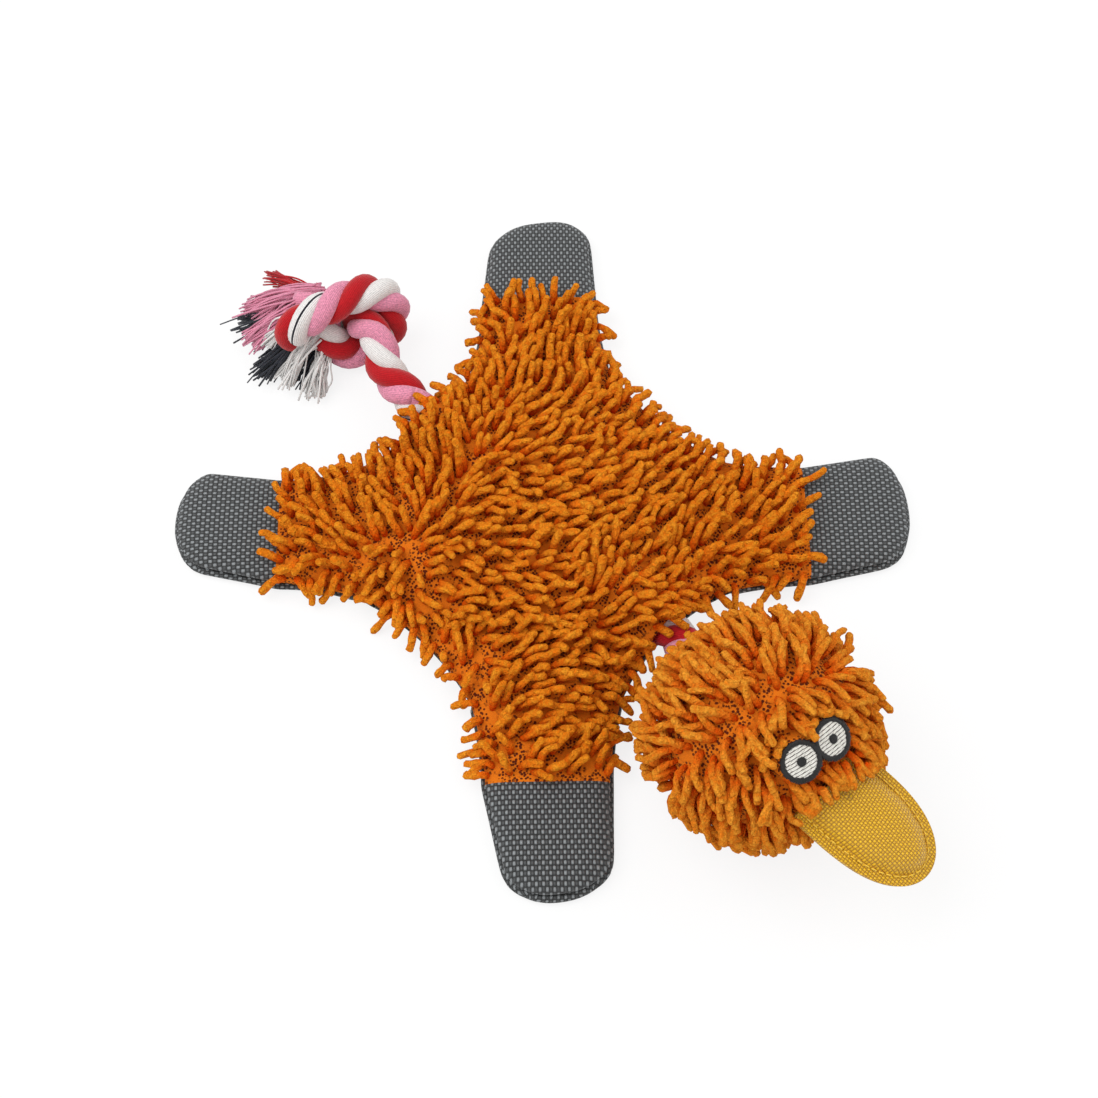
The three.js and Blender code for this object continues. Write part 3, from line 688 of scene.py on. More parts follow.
OVERLAP = 3  # points that two lengths of rope share where they meet
TAIL_TURN = 2.2  # radians, where the strands stand as the tail leaves the torso
TAIL_LEAVES = 70 * MM  # where the tail is clear of the torso
KNOT_SQUEEZE = 0.95  # thickness in the knot, as a share of the loose rope's
KNOT_DRAWS = (26 * MM, 14 * MM)  # where the rope starts to be drawn thinner, and over which length
INNER_SHARE = 0.97  # thickness of a length's end inside the next one
INNER_LENGTH = 3 * MM
BACKWARDS = (0, 2, 1)  # the cottons of a length of rope drawn towards the head, not towards the tail


class DUCK_OT_tail_rope(bpy.types.Operator):
    """The twisted tail rope with its overhand knot"""

    bl_idname = "duck.tail_rope"
    bl_label = "Tail Rope"

    def execute(self, context):
        line = tail_line()
        gone = travelled(line)
        squeeze = mix(1.0, KNOT_SQUEEZE, smooth((gone - KNOT_DRAWS[0]) / KNOT_DRAWS[1]))
        out = int(np.argmax(line[:, 1] > TAIL_LEAVES))
        inner = mix(1.0, INNER_SHARE, smooth((gone - gone[out]) / INNER_LENGTH))
        mesh = rope_mesh("tail_root", line, TAIL_TURN, slice(0, out + OVERLAP), squeeze * inner)
        root = add_object("tail_root", mesh, cottons(), replaced=["rope_tail"])
        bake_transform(root)
        mesh = rope_mesh("tail_rope", line, TAIL_TURN, slice(out, None), squeeze)
        piece = add_object("tail_rope", mesh, cottons())
        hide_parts("rope_tail", "tail_knot")
        tassel = tassel_piece()
        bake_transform(piece)
        sizes("rope").diameter
        return {"FINISHED"}


# The tassel's bunches of yarn in millimetres: where each leaves the knot, where it lands, its spread at the
# root and at the tips, how many yarns it has, and its material.
BUNCHES = (
    ((6, 126, 24), (-13, 148, 9), 3.2, 5.0, 130, 0),
    ((1, 124, 23), (-21, 138, 8), 3.4, 5.0, 130, 0),
    ((4, 131, 19), (1, 153, 11), 2.2, 3.4, 34, 1),
    ((4, 130, 15), (5, 151, 6), 1.5, 2.0, 8, 3),
    ((0, 126, 15), (-17, 147, 4), 4.0, 7.0, 90, 3),
    ((-4, 120, 13), (-27, 128, 3), 4.0, 6.0, 100, 3),
    ((-4, 121, 25), (-19, 131, 12), 2.6, 3.6, 90, 2),
    ((-7, 117, 18), (-23, 118, 5), 3.0, 4.5, 110, 2),
    ((-8, 112, 11), (-20, 106, 3), 3.0, 4.5, 80, 2),
    ((-2, 118, 10), (-18, 116, 2.5), 4.0, 7.0, 60, 3),
)
YARN_POINTS = 10
YARN_SIDES = 5
YARN_CLEAR = 0.2 * MM  # over the floor


def yarns():
    """The yarns' materials, in the order of the numbers in BUNCHES."""
    colours = sizes("colours")
    mottles = {"pink": 0.14, "red": 0.08, "white": 0.06, "charcoal": 0.2}
    return [
        kept(f"{shade}_yarn", yarn_finish, getattr(colours, shade), mottle)
        for shade, mottle in mottles.items()
    ]


def tassel_piece():
    """The frayed end of the rope: bunches of loose yarn that sweep down to the floor."""
    rng = np.random.default_rng(5)
    share = np.linspace(0, 1, YARN_POINTS)[None, :, None]
    paths, owners = [], []
    for root, land, root_spread, tip_spread, count, owner in BUNCHES:
        starts = np.array(root) + rng.normal(0, 0.45, (count, 3)) * root_spread
        ends = np.array(land) + rng.normal(0, 0.5, (count, 3)) * tip_spread * (1, 1, 0.2)
        reach = ends - starts
        lift = rng.uniform(0.15, 0.55, (count, 1)) * np.linalg.norm(reach, axis=1, keepdims=True) * 0.5
        bend = starts + reach * 0.45 + lift * (0, 0, 1) + rng.normal(0, 1.2, (count, 3))
        starts, ends, bend = (points[:, None] for points in (starts, ends, bend))
        arcs = (1 - share) ** 2 * starts + 2 * share * (1 - share) * bend + share**2 * ends
        wave = rng.normal(0, 0.5, (count, 1, 3)) * np.sin(share * rng.uniform(6, 12, (count, 1, 1)))
        paths.append((arcs + wave * share) * MM)
        owners += [owner] * count
    paths = np.concatenate(paths)
    thick = sizes("rope").yarn_radius * rng.uniform(0.8, 1.25, len(paths))
    radii = thick[:, None] * np.linspace(1.1, 0.9, YARN_POINTS)
    paths[..., 2] = np.maximum(paths[..., 2], radii + YARN_CLEAR)
    shades = rng.uniform(0, 1, len(paths))
    mesh = strand_mesh("tail_tassel_yarns", paths, radii, YARN_SIDES, shades, owners)
    piece = add_object("tail_tassel_yarns", mesh, yarns(), "tail_end")
    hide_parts("tail_tassel")
    return piece


RUN_STEP = 2 * MM
NECK_TURN = 2.5
NECK_STEP = 1.2 * MM
NECK_BEFORE = 12 * MM  # how far inside the torso the neck's strands are first laid
SEWN_LENGTH = 17 * MM  # of rope, from where the head turns into the head
SEWN_SHARE = 0.86  # thickness of the sewn length where it starts
SEWN_SWELLS = 5 * MM


class DUCK_OT_body_rope(bpy.types.Operator):
    """The same rope through the torso, as the neck, and sewn into the head"""

    bl_idname = "duck.body_rope"
    bl_label = "Body Rope"

    def execute(self, context):
        low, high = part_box("rope_torso_run")
        middle = (low + high) / 2
        run = route_line([(middle.x, high.y, middle.z), middle, (middle.x, low.y, middle.z)], RUN_STEP)
        mesh = rope_mesh("torso_rope", run, TAIL_TURN, order=BACKWARDS)
        add_object("torso_rope", mesh, cottons(), "torso", ["rope_torso_run"])
        lift, turn = pivot("neck_lift"), pivot("head_turn")
        into = (turn - lift).normalized()
        stops = [lift + Vector((0, NECK_BEFORE, 0)), lift, turn, turn + into * SEWN_LENGTH]
        line = route_line(stops, NECK_STEP)
        turned = int(np.argmin(np.linalg.norm(line - np.array(turn), axis=1)))
        neck = rope_mesh("neck_rope", line, NECK_TURN, slice(0, turned + OVERLAP), order=BACKWARDS)
        piece = add_object("neck_rope", neck, cottons(), replaced=["rope_neck"])
        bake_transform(piece)
        gone = travelled(line)
        inner = mix(SEWN_SHARE, 1.0, smooth((gone - gone[turned]) / SEWN_SWELLS))
        stub = rope_mesh("head_rope", line, NECK_TURN, slice(turned, None), inner, BACKWARDS)
        add_object("head_rope", stub, cottons(), "head_root", ["rope_head_stub"])
        return {"FINISHED"}


FOLD_PARTS = 16
WAIST_PARTS = 12
LEG_PARTS = 30
RING_SHARES = (0.975, 0.94, 0.89, 0.82, 0.74, 0.65, 0.55, 0.45, 0.34, 0.23, 0.12, 0.05)
WAISTS = (62 * MM, 63 * MM, 62 * MM, 63 * MM)  # front, left, rear and right, from the middle of the torso
PART_POWER = 1.35  # how much closer together a leg's parts are towards its tip
SAME_PLACE = 0.05 * MM
LEG_WIDENING = {"front_right": 1.05, "front_left": 1.09, "rear_left": 1.05, "rear_right": 1.0}


def side_share(share):
    """Places across a leg from -1 to 1, closer together towards its edges."""
    return math.sin(share * math.pi / 2)


def leg_half_width(reach, cloth, widening):
    paw, tip = cloth.paw_half_width * widening, cloth.tip_half_width * widening
    if reach < cloth.paw_start:
        return mix(cloth.root_half_width, paw, swell(reach / cloth.paw_start))
    along = (reach - cloth.paw_start) / (cloth.paw_reach - cloth.paw_start)
    rounding = max(0.0, 1 - (cloth.paw_reach - reach) / cloth.tip_shoulder)
    return mix(paw, tip, along) - cloth.tip_shoulder / 2 * rounding**2


def leg_point(reach, side, cloth, widening):
    """A point of a leg's outline or inside it, in the leg's frame."""
    tip = max(0.0, (reach - cloth.paw_start) / (cloth.paw_reach - cloth.paw_start))
    bulge = cloth.tip_bulge * tip * (1 - abs(side) ** 3)
    return Vector((reach + bulge, side * leg_half_width(reach, cloth, widening), 0))


def torso_outline(cloth):
    """The torso's outline, anticlockwise from the front right leg's right side."""
    places = []
    root = cloth.root_half_width
    for quarter, place in enumerate(LEG_PLACES):
        here = LEG_FRAMES[place]
        after = LEG_FRAMES[LEG_PLACES[(quarter + 1) % 4]]
        for step in range(FOLD_PARTS):
            places.append(here @ Vector((0, root * side_share(2 * step / FOLD_PARTS - 1), 0)))
        start, end = here @ Vector((0, root, 0)), after @ Vector((0, -root, 0))
        middle = (start + end) / 2
        dip = middle.normalized() * (WAISTS[quarter] - middle.length)
        for step in range(WAIST_PARTS):
            share = step / WAIST_PARTS
            places.append(start.lerp(end, share) + dip * (1 - (2 * share - 1) ** 2))
    return places


def ringed_sheet(sheet, places, shares, middle):
    """Adds a sheet with the given outline, as rings that close in on its middle."""
    count = len(places)
    ring = bmesh.ops.create_circle(sheet, segments=count, radius=1)["verts"]
    for vert in ring:
        turn = math.atan2(vert.co.y, vert.co.x) / (2 * math.pi)
        vert.co = places[round(turn * count) % count]
    edges = list(dict.fromkeys(edge for vert in ring for edge in vert.link_edges))
    before = 1.0
    for share in shares:
        grown = bmesh.ops.extrude_edge_only(sheet, edges=edges)["geom"]
        ring = [part for part in grown if isinstance(part, bmesh.types.BMVert)]
        edges = [part for part in grown if isinstance(part, bmesh.types.BMEdge)]
        space = Matrix.Translation(-Vector(middle))
        bmesh.ops.scale(sheet, verts=ring, vec=(share / before,) * 3, space=space)
        before = share
    cap = bmesh.ops.edgeloop_fill(sheet, edges=edges)["faces"]
    bmesh.ops.poke(sheet, faces=cap)
    put_in_order(sheet)


def flat_star():
    """The whole skin as a flat sheet on the floor: the torso and its four legs."""
    cloth = sizes("cloth")
    star = bmesh.new()
    ringed_sheet(star, torso_outline(cloth), RING_SHARES, (0, 0, 0))
    for place in LEG_PLACES:
        grown = bmesh.ops.create_grid(star, x_segments=LEG_PARTS, y_segments=FOLD_PARTS, size=1)["verts"]
        for vert in grown:
            share = (vert.co.x + 1) / 2
            reach = cloth.paw_reach * (1 - (1 - share) ** PART_POWER)
            spot = leg_point(reach, side_share(vert.co.y), cloth, LEG_WIDENING[place])
            vert.co = LEG_FRAMES[place] @ spot
    bmesh.ops.remove_doubles(star, verts=star.verts, dist=SAME_PLACE)
    bmesh.ops.recalc_face_normals(star, faces=star.faces)
    if sum(face.normal.z for face in star.faces) < 0:
        bmesh.ops.reverse_faces(star, faces=star.faces)
    return star


def inset_of(star):
    """How far each vertex lies in from the sheet's edge, and the direction to the edge."""
    rim = [vert.co for vert in star.verts if vert.is_boundary]
    rim += [(edge.verts[0].co + edge.verts[1].co) / 2 for edge in star.edges if edge.is_boundary]
    rim = rows_of(rim)
    places = rows_of(vert.co for vert in star.verts)
    apart = rim[None, :, :2] - places[:, None, :2]
    reach = np.linalg.norm(apart, axis=2)
    nearest = reach.argmin(axis=1)
    everyone = np.arange(len(places))
    return reach[everyone, nearest], unit(apart[everyone, nearest])


def rounded(inset, width):
    """The profile of a rounded edge: from 0 at the edge to 1 at its width and beyond."""
    return np.sqrt(np.clip(1 - (1 - np.clip(inset / width, 0, 1)) ** 2, 0, 1))


def tree_of(names):
    """A search tree of some of the CAD nodes together."""
    joined = bmesh.new()
    for name in names:
        joined.from_mesh(NODES[name].data)
    tree = BVHTree.FromBMesh(joined)
    joined.free()
    return tree


PELTS = ["torso_pelt"] + [f"leg_{place}_{part}" for place in LEG_PLACES for part in ("pelt", "paw_top")]
PAW_EDGE = 9 * MM  # width over which a leg's edge is rounded
PAW_PAD = 4.9 * MM  # rise of a leg's pad over its seam
SEAM_LIFT = 0.3 * MM  # of the cloth over the seam at its very edge
FOLD_SMOOTHINGS = 80
RAY_DRAW = 0.996  # draws the rays in a little, so that those of the edge meet the pelts


def top_star():
    """The top of the skin: the pelt's backing and the tops of the paws."""
    cloth = sizes("cloth")
    star = flat_star()
    insets = inset_of(star)[0]
    pelts = tree_of(PELTS)
    pads = rounded(insets, PAW_EDGE) * PAW_PAD
    for vert, pad in zip(star.verts, pads):
        hit = pelts.ray_cast(vert.co * RAY_DRAW - UP, UP)[0]
        lining = hit.z if hit else cloth.seam_height
        lift = cloth.thickness if pad > 0 else SEAM_LIFT
        vert.co.z = max(lining, cloth.seam_height + pad) + lift
    for place in LEG_PLACES:
        inverse = LEG_FRAMES[place].inverted()
        zone = [
            vert
            for vert in star.verts
            if abs((inverse @ vert.co).x) < cloth.bridge and not vert.is_boundary
        ]
        for _ in range(FOLD_SMOOTHINGS):
            bmesh.ops.smooth_vert(star, verts=zone, factor=0.5, use_axis_z=True)
    return star


UNDER_EDGE = 2.4 * MM  # width over which the underside bulges out past its seam
UNDER_BULGE = 3.4 * MM
UNDER_TURN = 7 * MM  # width over which it rises to the seam
UNDER_LOW = 0.02 * MM
SEAM_GAP = 0.15 * MM  # from the seam to the cloth over or under it


def bottom_star():
    """The underside, flat on the floor and turned up at its edge."""
    cloth = sizes("cloth")
    star = flat_star()
    insets, outwards = inset_of(star)
    bulges = UNDER_BULGE * np.exp(-((insets / UNDER_EDGE) ** 2)) * smooth(insets / UNDER_EDGE * 3)
    for vert, share, bulge, way in zip(star.verts, rounded(insets, UNDER_TURN), bulges, outwards):
        vert.co += Vector((*way, 0)) * bulge
        vert.co.z = mix(cloth.seam_height - SEAM_GAP, UNDER_LOW, share)
    bmesh.ops.reverse_faces(star, faces=star.faces)
    return star


def leg_spots(verts, place, start):
    """The vertices that lie in a leg from a reach outwards, each with its spot in the leg's frame."""
    inverse = LEG_FRAMES[place].inverted()
    half_width = sizes("cloth").root_half_width
    spots = [(vert, inverse @ vert.co) for vert in verts]
    return [(vert, spot) for vert, spot in spots if spot.x >= start and abs(spot.y) <= half_width]


PINCH_START = 6 * MM  # before the end of the pile
PINCH_MIDDLE = 45 * MM  # the reach that the edge is drawn towards
PINCH_SHARE = 0.955


def pinch_edges(star):
    """Draws the paws' edges in at the seam."""
    start = sizes("cloth").paw_start - PINCH_START
    for place in LEG_PLACES:
        for vert, spot in leg_spots(star.verts, place, start):
            if vert.is_boundary:
                middle = Vector((PINCH_MIDDLE, 0, spot.z))
                vert.co = LEG_FRAMES[place] @ (middle + (spot - middle) * PINCH_SHARE)


# How each paw leans at its end: its shift towards the leg's left, its narrowing, and the slant of its end.
PAW_LEANS = {
    "front_right": (3.4 * MM, 0.13, -0.08),
    "front_left": (6.0 * MM, -0.01, -0.04),
    "rear_left": (-0.8 * MM, 0.06, -0.09),
    "rear_right": (-6.0 * MM, 0.03, 0.05),
}


def lean_paws(verts):
    """Moves the vertices that lie in a paw with the paw's lean."""
    cloth = sizes("cloth")
    for place, (shift, narrowing, slant) in PAW_LEANS.items():
        for vert, spot in leg_spots(verts, place, cloth.paw_start):
            along = (spot.x - cloth.paw_start) / (cloth.paw_reach - cloth.paw_start)
            spot.x += slant * spot.y * along
            spot.y += (shift - narrowing * spot.y) * along
            vert.co = LEG_FRAMES[place] @ spot


def cut_out(star, *cuts):
    """A copy of the sheet without what lies beyond each cut, which is a point and a direction."""
    part = star.copy()
    for place, beyond in cuts:
        geometry = part.verts[:] + part.edges[:] + part.faces[:]
        bmesh.ops.bisect_plane(
            part, geom=geometry, dist=1e-6, plane_co=place, plane_no=beyond, clear_outer=True
        )
    return part


def leg_cut(place, reach, beyond):
    """A cut across a leg. beyond is 1 to drop what lies outwards of it, and -1 for what lies inwards."""
    leg = LEG_FRAMES[place]
    return leg @ Vector((reach, 0, 0)), leg.to_3x3() @ Vector((beyond, 0, 0))


def cloth_piece(name, part, frame_of, cloth, replaced, body=None, blended=None, thickness=None):
    """Makes a piece of cloth from a sheet, with its weave's coordinates, its thickness and smooth faces."""
    mesh = finished(name, part)
    store_rest(mesh)
    inverse = frame_of.inverted()
    store(mesh, "weave", [tuple(inverse @ vert.co) for vert in mesh.vertices], "FLOAT_VECTOR")
    material, slot = cloth
    piece = add_object(name, mesh, [material], body, [replaced])
    if blended:
        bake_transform(piece)
    rounding = piece.modifiers.new("rounding", "SUBSURF")
    rounding.levels = rounding.render_levels = 1
    add_wall(piece, thickness or sizes("cloth").thickness)


def add_wall(piece, thickness):
    """Gives a sheet of cloth its thickness, inwards."""
    wall = piece.modifiers.new("wall", "SOLIDIFY")
    wall.thickness = thickness
    wall.offset = -1


def leg_blend(place):
    """How a piece of a leg bends at its fold: the two bodies, and where the bend starts and ends."""
    bend = sizes("cloth").bend
    leg = LEG_FRAMES[place]
    fold = pivot(f"leg_{place}_fold").z
    ends = [leg @ Vector((side * bend, 0, fold)) for side in (-1, 1)]
    return "torso", f"leg_{place}", *ends


class DUCK_OT_skin(bpy.types.Operator):
    """The knitted backing of the torso and legs, the nylon paws and the nylon underside"""

    bl_idname = "duck.skin"
    bl_label = "Skin"

    def execute(self, context):
        bend, paw = sizes("cloth").bend, sizes("cloth").paw_start
        colours = sizes("colours")
        knit = kept("plush_backing", backing_finish, tuple(colours.backing)), "orange_plush"
        nylon = kept("grey_nylon_weave", grey_weave, tuple(colours.grey)), "grey_nylon"
        top, bottom = top_star(), bottom_star()
        for star in (top, bottom):
            pinch_edges(star)
            lean_paws(star.verts)
        level = Matrix.Identity(4)
        middle = [leg_cut(place, -bend, 1) for place in LEG_PLACES]
        cloth_piece("torso_backing", cut_out(top, *middle), level, knit, "torso_pelt", "torso")
        cloth_piece("torso_underside", cut_out(bottom, *middle), level, nylon, "torso_belly", "torso")
        for place in LEG_PLACES:
            leg = LEG_FRAMES[place]
            name = f"leg_{place}"
            bent = {"blended": leg_blend(place)}
            inner = leg_cut(place, -bend, -1)
            pelt = cut_out(top, inner, leg_cut(place, paw, 1))
            cloth_piece(f"{name}_backing", pelt, leg, knit, f"{name}_pelt", **bent)
            paw_top = cut_out(top, leg_cut(place, paw, -1))
            cloth_piece(f"{name}_paw", paw_top, leg, nylon, f"{name}_paw_top", name)
            under = cut_out(bottom, inner)
            cloth_piece(f"{name}_sole", under, leg, nylon, f"{name}_underside", **bent)
        top.free()
        bottom.free()
        return {"FINISHED"}


# Which way the body's pile lies: a place in millimetres and a heading in degrees.
LEANS = (
    (5, 55, 60), (-12, 41, 65), (-38, 37, 80), (28, 31, -20), (-4, 17, -80), (-1, -7, -60),
    (-10, -6, -10), (-5, -28, 30), (23, -50, 35), (-35, 23, -25), (-37, 10, -85), (-29, -2, -85),
    (-31, -20, -90), (-41, -30, -10), (-7, -63, -75), (-62, -13, 35), (-69, -9, -155), (45, 70, 100),
    (32, 71, 110), (49, 60, -10), (66, 55, -10), (47, 45, 45), (66, 65, 60), (-80, 69, 165),
    (-52, 76, 55), (-71, 61, 125), (-69, 33, -170), (-51, 28, -155), (-48, 43, 70), (74, -45, 50),
    (58, -61, 5), (69, -67, -35), (33, -68, -30), (21, -64, -80), (36, -73, -100), (-63, -25, 180),
    (-74, -26, 180), (-77, -44, 150), (-59, -36, -20), (-54, -46, -60), (-39, -61, -75), (-68, -40, -25),
    (-82, -49, 100), (-62, -69, -15), (-58, -79, 15), (-69, -75, -130),
)
LEAN_BLUR = 4 * MM  # added to each distance, so that a lean close by doesn't outweigh all the others


def headings_at(places):
    """The heading of the pile at each place, between the leans that are given."""
    spots = np.array([lean[:2] for lean in LEANS]) * MM
    turns = np.radians([lean[2] for lean in LEANS])
    apart = np.linalg.norm(places[:, None, :2] - spots, axis=2)
    weights = 1 / (apart + LEAN_BLUR) ** 3
    return np.arctan2(weights @ np.sin(turns), weights @ np.cos(turns))


SUNK = 0.4 * MM  # how deep a noodle's root sits in its cloth
TIP_STEP_SHARE = 0.3  # of a step, for the two rings that round a noodle's tip


def pile_profile(count, rng, tips):
    """How each noodle of the pile runs: steps along the ground, heights over it, and turns to the side.
    tips holds the least and greatest rise of its outer end, in degrees."""
    pile = sizes("pile")
    share = np.linspace(0, 1, pile.rings)
    length = pile.length * rng.uniform(0.82, 1.15, count)
    rise = np.radians(rng.uniform(50, 85, count))[:, None]
    settle = np.radians(rng.uniform(*tips, count))[:, None]
    slope = mix(rise, settle, smooth(share / 0.6))
    parts = np.append(np.ones(pile.rings - 2), (TIP_STEP_SHARE, TIP_STEP_SHARE))
    step = (length / (pile.rings - 2 + TIP_STEP_SHARE))[:, None] * parts
    curl = rng.normal(0, math.radians(16), (count, 1)) * share
    wave = rng.normal(0, math.radians(12), (count, 1)) * np.sin(share * 6 + rng.uniform(0, 6, (count, 1)))
    ahead = step * np.cos(slope)
    height = np.cumsum(step * np.sin(slope), axis=1) - step * np.sin(slope)
    return ahead, height - SUNK, curl + wave


def noodle_radii(count, rng):
    """Noodles are slimmer at the root and rounded off at the tip."""
    pile = sizes("pile")
    share = np.linspace(0, 1, pile.rings)
    shape = np.minimum(1, 0.8 + share * 1.2)
    shape[-2:] = 0.93, 0.5
    thick = pile.radius * rng.uniform(0.88, 1.1, (count, 1))
    lumps = 1 + 0.05 * np.sin(share * 19 + rng.uniform(0, 6, (count, 1)))
    return thick * shape * lumps


def lattice(reach, pitch, row_pitch, rng):
    """Rows of places across a square, every other row set half a pitch over, all a little uneven."""
    rows = np.arange(-reach, reach, row_pitch)
    columns = np.arange(-reach, reach, pitch)
    x, y = np.meshgrid(columns, rows)
    x = x + (np.arange(len(rows)) % 2)[:, None] * pitch / 2
    x = x + rng.uniform(-0.3, 0.3, x.shape) * pitch
    y = y + rng.uniform(-0.22, 0.22, y.shape) * row_pitch
    return np.stack([x.ravel(), y.ravel()], axis=1)


RIM_PITCH = 4.4 * MM  # from one noodle of the edge to the next
RIM_INSET = 1.6 * MM
RIM_CLEAR = 4.0 * MM  # from the edge to the noodles inside it


def rim_of(star):
    """Places along the edge of the sheet, a little apart, and the direction outwards at each."""
    places, outwards = [], []
    for vert in star.verts:
        inner = [edge.other_vert(vert).co for edge in vert.link_edges if not edge.is_boundary]
        if not vert.is_boundary or not inner:
            continue
        here = vert.co.to_2d()
        if all((here - other).length > RIM_PITCH for other in places):
            places.append(here)
            outwards.append((here - inner[0].to_2d()).normalized())
    return rows_of(places), rows_of(outwards)


def leg_reach(places, place):
    """How far out of a leg's fold line places lie, and how far to its side."""
    inverse = np.array(LEG_FRAMES[place].inverted())
    spots = places[..., :2] @ inverse[:2, :2].T + inverse[:2, 3]
    return spots[..., 0], spots[..., 1]


ABOVE = 0.1  # metres, a height over every piece
DROOP = 1.1  # fall of a noodle past the cloth's edge, for each length that it runs on


def below(tree, x, y):
    """Where a ray from straight above meets the cloth."""
    return tree.ray_cast((x, y, ABOVE), -UP)[0]


def ground_heights(tree, paths):
    """The cloth's height under each point of each noodle. Past the cloth's edge it falls away."""
    heights = np.zeros(paths.shape[:2])
    for i, path in enumerate(paths):
        level, before = 0.0, path[0]
        for k, point in enumerate(path):
            hit = below(tree, *point)
            level = hit.z if hit else level - DROOP * math.dist(point, before)
            heights[i, k] = level
            before = point
    return heights


PILE_REACH = 0.13  # metres, half of the square that the rows of noodles are laid over
PAW_CLEAR = 1.5 * MM  # from the last noodles to the paw
LEG_SIDE = 45 * MM  # half of the width in which noodles may bend with a leg
BODY_TIPS = (-4, 50)  # degrees, the least and greatest rise of a noodle's outer end
HANGING_SHARE = 0.8  # of the edge's noodles, which hang outwards over it
NOODLE_CLEAR = 0.3 * MM  # over the floor
BODY_LAYER = 1.6 * MM  # how much higher the uppermost noodles lie


class DUCK_OT_body_pile(bpy.types.Operator):
    """The chenille noodles of the torso and legs"""

    bl_idname = "duck.body_pile"
    bl_label = "Body Pile"

    def execute(self, context):
        cloth, pile = sizes("cloth"), sizes("pile")
        rng = np.random.default_rng(11)
        star = top_star()
        star.normal_update()
        tree = BVHTree.FromBMesh(star)
        rim, outwards = rim_of(star)
        star.free()
        roots = [
            place
            for place in lattice(PILE_REACH, pile.pitch, pile.row_pitch, rng)
            if below(tree, *place) and np.linalg.norm(rim - place, axis=1).min() > RIM_CLEAR
        ]
        inner = len(roots)
        roots = np.concatenate([np.array(roots), rim - outwards * RIM_INSET])
        out_of = np.array([leg_reach(roots, place)[0] for place in LEG_PLACES]).max(axis=0)
        piled = out_of < cloth.paw_start - PAW_CLEAR
        lean = headings_at(roots)
        hanging = (np.arange(len(roots)) >= inner) & (rng.uniform(0, 1, len(roots)) < HANGING_SHARE)
        rim_lean = np.arctan2(outwards[:, 1], outwards[:, 0]) + rng.normal(0, 0.5, len(rim))
        lean[inner:] = np.where(hanging[inner:], rim_lean, lean[inner:])
        roots, lean = roots[piled], lean[piled]
        count = len(roots)
        ahead, height, drift = pile_profile(count, rng, BODY_TIPS)
        headings = lean[:, None] + rng.normal(0, math.radians(13), (count, 1)) + drift
        moves = np.stack([ahead * np.cos(headings), ahead * np.sin(headings)], axis=2)
        flat = roots[:, None] + np.cumsum(moves, axis=1) - moves
        radii = noodle_radii(count, rng)
        ground = ground_heights(tree, flat)
        layer = rng.uniform(0, BODY_LAYER, (count, 1)) * np.linspace(0, 1, pile.rings)
        level = np.maximum(ground + height + layer, radii + NOODLE_CLEAR)
        paths = np.concatenate([flat, level[..., None]], axis=2)
        shades = rng.uniform(0, 1, count)
        owners = np.zeros(count, int)
        for number, place in enumerate(LEG_PLACES, 1):
            reach, side = leg_reach(paths, place)
            inside = (np.abs(side) < LEG_SIDE).all(axis=1)
            owners[(reach.max(axis=1) > -cloth.bend) & inside] = number
        plush = kept("body_chenille", pile_finish, tuple(sizes("colours").plush))
        for number, place in enumerate((None, *LEG_PLACES)):
            chosen = owners == number
            part = f"leg_{place}" if place else "torso"
            strands = paths[chosen], radii[chosen], pile.sides, shades[chosen]
            mesh = strand_mesh(f"{part}_pile", *strands, ragged=rng)
            body = None if place else "torso"
            piece = add_object(f"{part}_pile", mesh, [plush], body, [f"{part}_pelt"])
            if place:
                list(leg_blend(place))
                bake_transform(piece)
        return {"FINISHED"}


HEAD = pivot("head_twist")
HEAD_RADIUS = 34.4 * MM  # of its knitted cover, under the pile
HEAD_HALF_HEIGHT = 30.6 * MM
EYE_RADIUS = 39.2 * MM  # of the raised cloth under the eyes
EYE_HALF_HEIGHT = 35.2 * MM
PARTING = ((-31, -100), (6, -109))  # millimetres, across the crown from above
PARTING_HEIGHT = 66


def head_reach(ways, radius=HEAD_RADIUS, half_height=HEAD_HALF_HEIGHT):
    """How far the head's cover lies from its middle in each direction."""
    level = (ways[..., 0] ** 2 + ways[..., 1] ** 2) / radius**2
    return 1 / np.sqrt(level + ways[..., 2] ** 2 / half_height**2)


EYE_SPREAD = math.radians(11)  # of the raised cloth round the middle of each eye
EYE_SLOPE = math.radians(15)
EYE_MOVE = Vector((1.2, 2.0, 0)) * MM
SIDES = ("left", "right")


def eye_middle(side):
    """The direction from the head's middle to the middle of an eye."""
    low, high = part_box(f"eye_{side}_pupil")
    return ((low + high) / 2 + EYE_MOVE - HEAD).normalized()


BALL_PARTS = 5  # how many times its faces are divided
PASSAGE_RADIUS = 8 * MM  # of the opening that the rope comes in through


